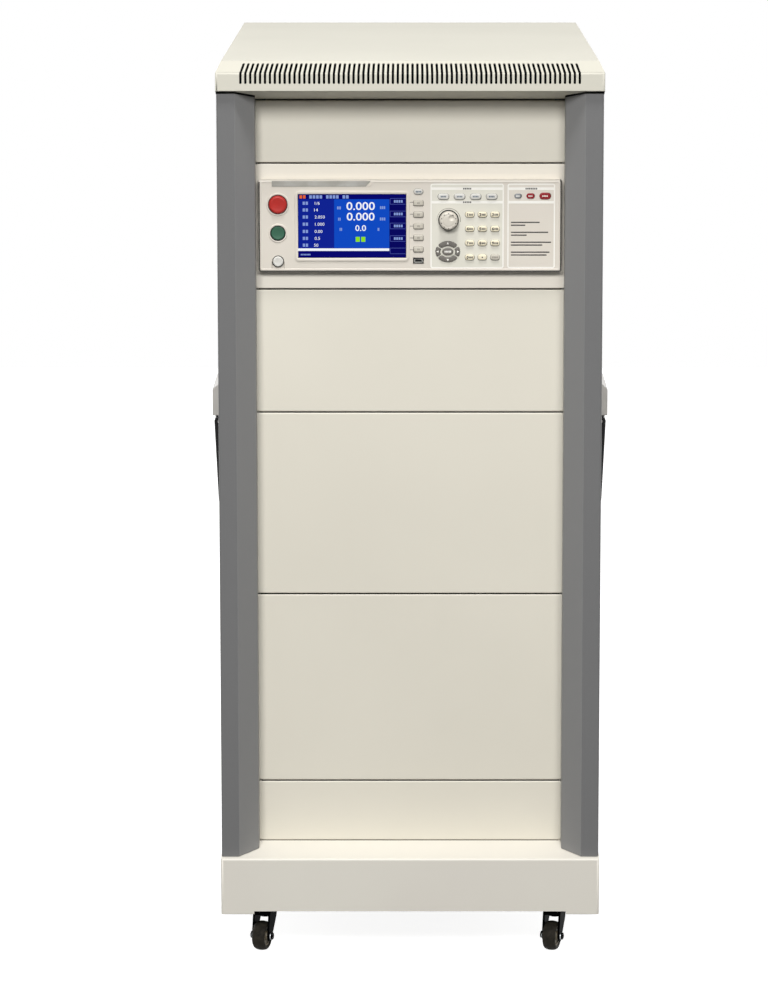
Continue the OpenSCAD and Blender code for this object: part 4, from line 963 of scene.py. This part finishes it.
# %% Louvre hoods on the door
EDGE_ROW, ROW_PITCH, ROWS, COLUMN = 62, 14, 10, 84
low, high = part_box("rear_door")
along, round_up = np.meshgrid(np.linspace(np.pi, 0, 11), np.linspace(0, np.pi / 2, 5), indexing="ij")
swell = np.sin(along) ** 0.6
rows = np.stack([31 * np.cos(along), 2.9 * swell * np.cos(round_up), 5.4 * swell * np.sin(round_up) - 2.4], -1)
hood = skin(rows, **HOLLOW, closed=False)
up_the_door = EDGE_ROW + ROW_PITCH * np.arange(ROWS)
heights = np.concatenate([low.z * 1000 + up_the_door, high.z * 1000 - up_the_door])
hoods = [moved(hood, x, high.y * 1000, z) for z in heights for x in (-COLUMN, 0, COLUMN)]
louvres = piece("door_louvres", together(hoods), powder_coat, "rear_door")
thick = louvres.modifiers.new("sheet", "SOLIDIFY")
thick.thickness, thick.offset = 0.0007, -1
print("louvres:", len(hoods))

# %% Screws on the sides
low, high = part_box("side_panels")
side_face = high.x * 1000


def pan_head(side, y, z, steps=16):
    """A low domed screw head on the left (-1) or right (1) side: rings that shrink as they stand out."""
    turn = np.linspace(0, 2 * np.pi, steps, endpoint=False) * side
    profile = [(0.0, 3.6), (0.2, 3.4), (1.1, 2.6), (1.7, 1.2), (1.8, 0.02)]
    rings = [np.column_stack([np.full(steps, side * (side_face + height)), y + radius * np.cos(turn),
                              z + radius * np.sin(turn)]) for height, radius in profile]
    return skin(rings, start=False)


edge_y, edge_z = (low.y * 1000 + 24, high.y * 1000 - 24), (low.z * 1000 + 22, high.z * 1000 - 22)
screws = [pan_head(side, y, z) for side in (-1, 1) for y in (edge_y[0], sum(edge_y) / 2, edge_y[1])
          for z in edge_z]
piece("side_screws", together(screws), zinc_plate, "root")
print("screws:", len(screws))

# %% [markdown]
# ## Painted shade behind the vent slots
# A black sheet behind the slots of the cover is painted shade, so they read as crisp dark lines. It follows
# the bend of the cover three millimetres behind the outer face.

# %% Black strip of painted shade
# the black of the painted shade behind the slots, in the panels' joints and on the pillars' tops
shade_sheet = finish("filter_foam", "#0a0a0a", "#050505", 8, 0.9, 0.05, 0.9, 0.3, Specular_IOR_Level=0.05)


def bar(section, half):
    """A section in y and z carried along x, from minus half to half."""
    return skin([np.column_stack([np.full(len(section), x), section]) for x in (-half, half)])


front, back = cover_face + 3.4, cover_face + 27.4
side = np.array([(front, bend_z - 21), (front, bend_z - 0.6), (back, cover_top - 3.9), (back, cover_top - 5.4),
                 (front + 1.5, bend_z - 1.6), (front + 1.5, bend_z - 20.2)])
half = cover_side - 24
piece("vent_filter", bar(side, half), shade_sheet, "root")
print("shade sheet half length", round(half, 1), "mm")

# %% [markdown]
# ## Painted shade in the joints
# Black strips lie behind the joints of the panels and between the pillars' tops and the cover. They are
# painted shade, which turns the narrow openings into crisp black lines. The joints' heights are read from the
# panels' own corners: a joint is where one panel's edge lies just above another's.

# %% Painted shade behind the joints
SHADE_STRIP_H, SHADE_STRIP_T, SHADE_STRIP_X = 5.0, 1.6, 213.0
panel_z = np.concatenate([corners_of(nodes[name].data)[:, 2] for name in ("blank_panels", "tester_panel")])
levels = np.unique(np.round(panel_z, 1))
joints = [(a + b) / 2 for a, b in zip(levels[:-1], levels[1:]) if 0.8 < b - a < 2.6]
back_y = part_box("blank_panels")[1].y * 1000
shade_strip = np.array([(back_y + 0.1, -SHADE_STRIP_H), (back_y + SHADE_STRIP_T, -SHADE_STRIP_H), (back_y + SHADE_STRIP_T, SHADE_STRIP_H),
                 (back_y + 0.1, SHADE_STRIP_H)])
shade_strips = [moved(bar(shade_strip, SHADE_STRIP_X), 0, 0, z) for z in joints]
piece("joint_tapes", together(shade_strips), shade_sheet, "root")
print("tapes behind the panels at y", round(back_y, 1), "and z", [round(float(z), 1) for z in joints])

# %% Painted shade on the pillars' tops
SOFFIT_SLOPE = 17 / 68
outer_x, inner_x, crease_x = PILLAR_OUT * 1000, PILLAR_IN * 1000, CREASE * 1000
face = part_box("front_pillar_right")[0].y * 1000
path = np.array([(outer_x, face + 20), (outer_x, face), (crease_x, face), (inner_x, face + 30),
                 (inner_x, face + 34)])
out = np.array([(1, 0), (0.7, -0.7), (-0.3, -0.95), (-0.8, -0.6), (-1, 0)])
shade_strips = []
for side in (-1, 1):
    rings = []
    for offset, drop in ((0.5, 0.1), (0.5, 2.6), (-1.2, 2.6), (-1.2, 0.1)):
        place = path + out * offset
        z = bend_z - 24 - (place[:, 1] - cover_face) * SOFFIT_SLOPE - drop
        rings.append(np.column_stack([side * place[:, 0], place[:, 1], z]))
    shade_strips.append(skin(np.stack(rings, 1)))
piece("pillar_tapes", together(shade_strips), shade_sheet, "root")
print("pillar tapes:", len(shade_strips))

# %% [markdown]
# ## Floor, light and background
# The photograph has a white ground and even, soft light that falls from the front and above, so the cover
# throws a soft shadow on the first panel. The floor is nearly white and shows itself as white to the camera
# and in reflections, and much darker to the light that bounces, so that the underside stays dark as it does
# in the photograph. It still takes the cabinet's shadow. Two lamps stand in front, one above, two behind and
# two low at the sides.

# %% Floor
floor_mesh = bpy.data.meshes.new("floor")
floor_mesh.from_pydata([(-6, -6.5, 0), (6, -6.5, 0), (6, 5, 0), (-6, 5, 0)], [], [(0, 1, 2, 3)])
floor = placed("floor", floor_mesh)


def shown(tree):
    """1 for light that the camera sees straight, in a reflection or through something clear, otherwise 0."""
    seen = add(tree, "LightPath").outputs
    mirrored = add(tree, "Math", [(0, seen["Is Camera Ray"]), (1, seen["Is Glossy Ray"])], operation="MAXIMUM")
    through = [(0, mirrored.outputs[0]), (1, seen["Is Transmission Ray"])]
    return add(tree, "Math", through, operation="MAXIMUM").outputs[0]


PAPER_GLOW = 0.88
paper = bpy.data.materials.new("white_paper")
paper.use_nodes = True
tree = paper.node_tree
is_shown = shown(tree)
tone = add(tree, "Mix", [(MIX_SHARE, is_shown), (MIX_FIRST, linear("#4c4c4b")),
                         (MIX_SECOND, linear("#c4c4c4"))], data_type="RGBA")
matt = add(tree, "BsdfDiffuse", [("Color", tone.outputs[MIX_OUT])])
lift = add(tree, "Math", [(0, is_shown), (1, PAPER_GLOW)], operation="MULTIPLY")
glow = add(tree, "Emission", [("Color", (1, 1, 1, 1)), ("Strength", lift.outputs[0])])
both = add(tree, "AddShader", [(0, matt.outputs[0]), (1, glow.outputs[0])])
tree.links.new(both.outputs[0], tree.nodes["Material Output"].inputs["Surface"])
floor_mesh.materials.append(paper)
print("floor made")

# %% World
world = bpy.data.worlds.new("studio")
bpy.context.scene.world = world
world.use_nodes = True
tree = world.node_tree
level = add(tree, "MapRange", [("Value", shown(tree)), ("To Min", 0.06), ("To Max", 1.0)])
tree.nodes["Background"].inputs["Color"].default_value = (1, 1, 1, 1)
tree.links.new(level.outputs["Result"], tree.nodes["Background"].inputs["Strength"])
print("world made")


# %% Lamps of the studio
def lamp(name, place, target, size, power):
    """A square soft box that looks at the target."""
    data = bpy.data.lights.new(name, "AREA")
    data.size, data.energy = size, power
    made = placed(name, data)
    made.location = place
    right, ahead, up = np.array(target) - np.array(place)
    tilt, heading = math.atan2(math.hypot(right, ahead), -up), math.atan2(ahead, right) - math.pi / 2
    made.rotation_euler = (tilt, 0, heading)


# place and width in metres, power in watts
studio = [("key", (-1.2, -5.2, 3.9), 1.5, 178), ("fill", (1.2, -5.2, 3.6), 1.7, 117),
          ("top", (0.0, -2.2, 6.0), 1.2, 188), ("back_left", (-3.4, 4.0, 2.6), 2.2, 80),
          ("back_right", (3.4, 4.0, 2.6), 2.2, 80), ("side_left", (-4.4, 2.6, 1.3), 1.8, 85),
          ("side_right", (4.4, 2.6, 1.3), 1.8, 85)]
AIM_Y, AIM_Z = 0.4, 0.75
for name, place, size, power in studio:
    lamp(name, place, (0, math.copysign(AIM_Y, place[1]), AIM_Z), size, power)
print("lamps:", len(studio))
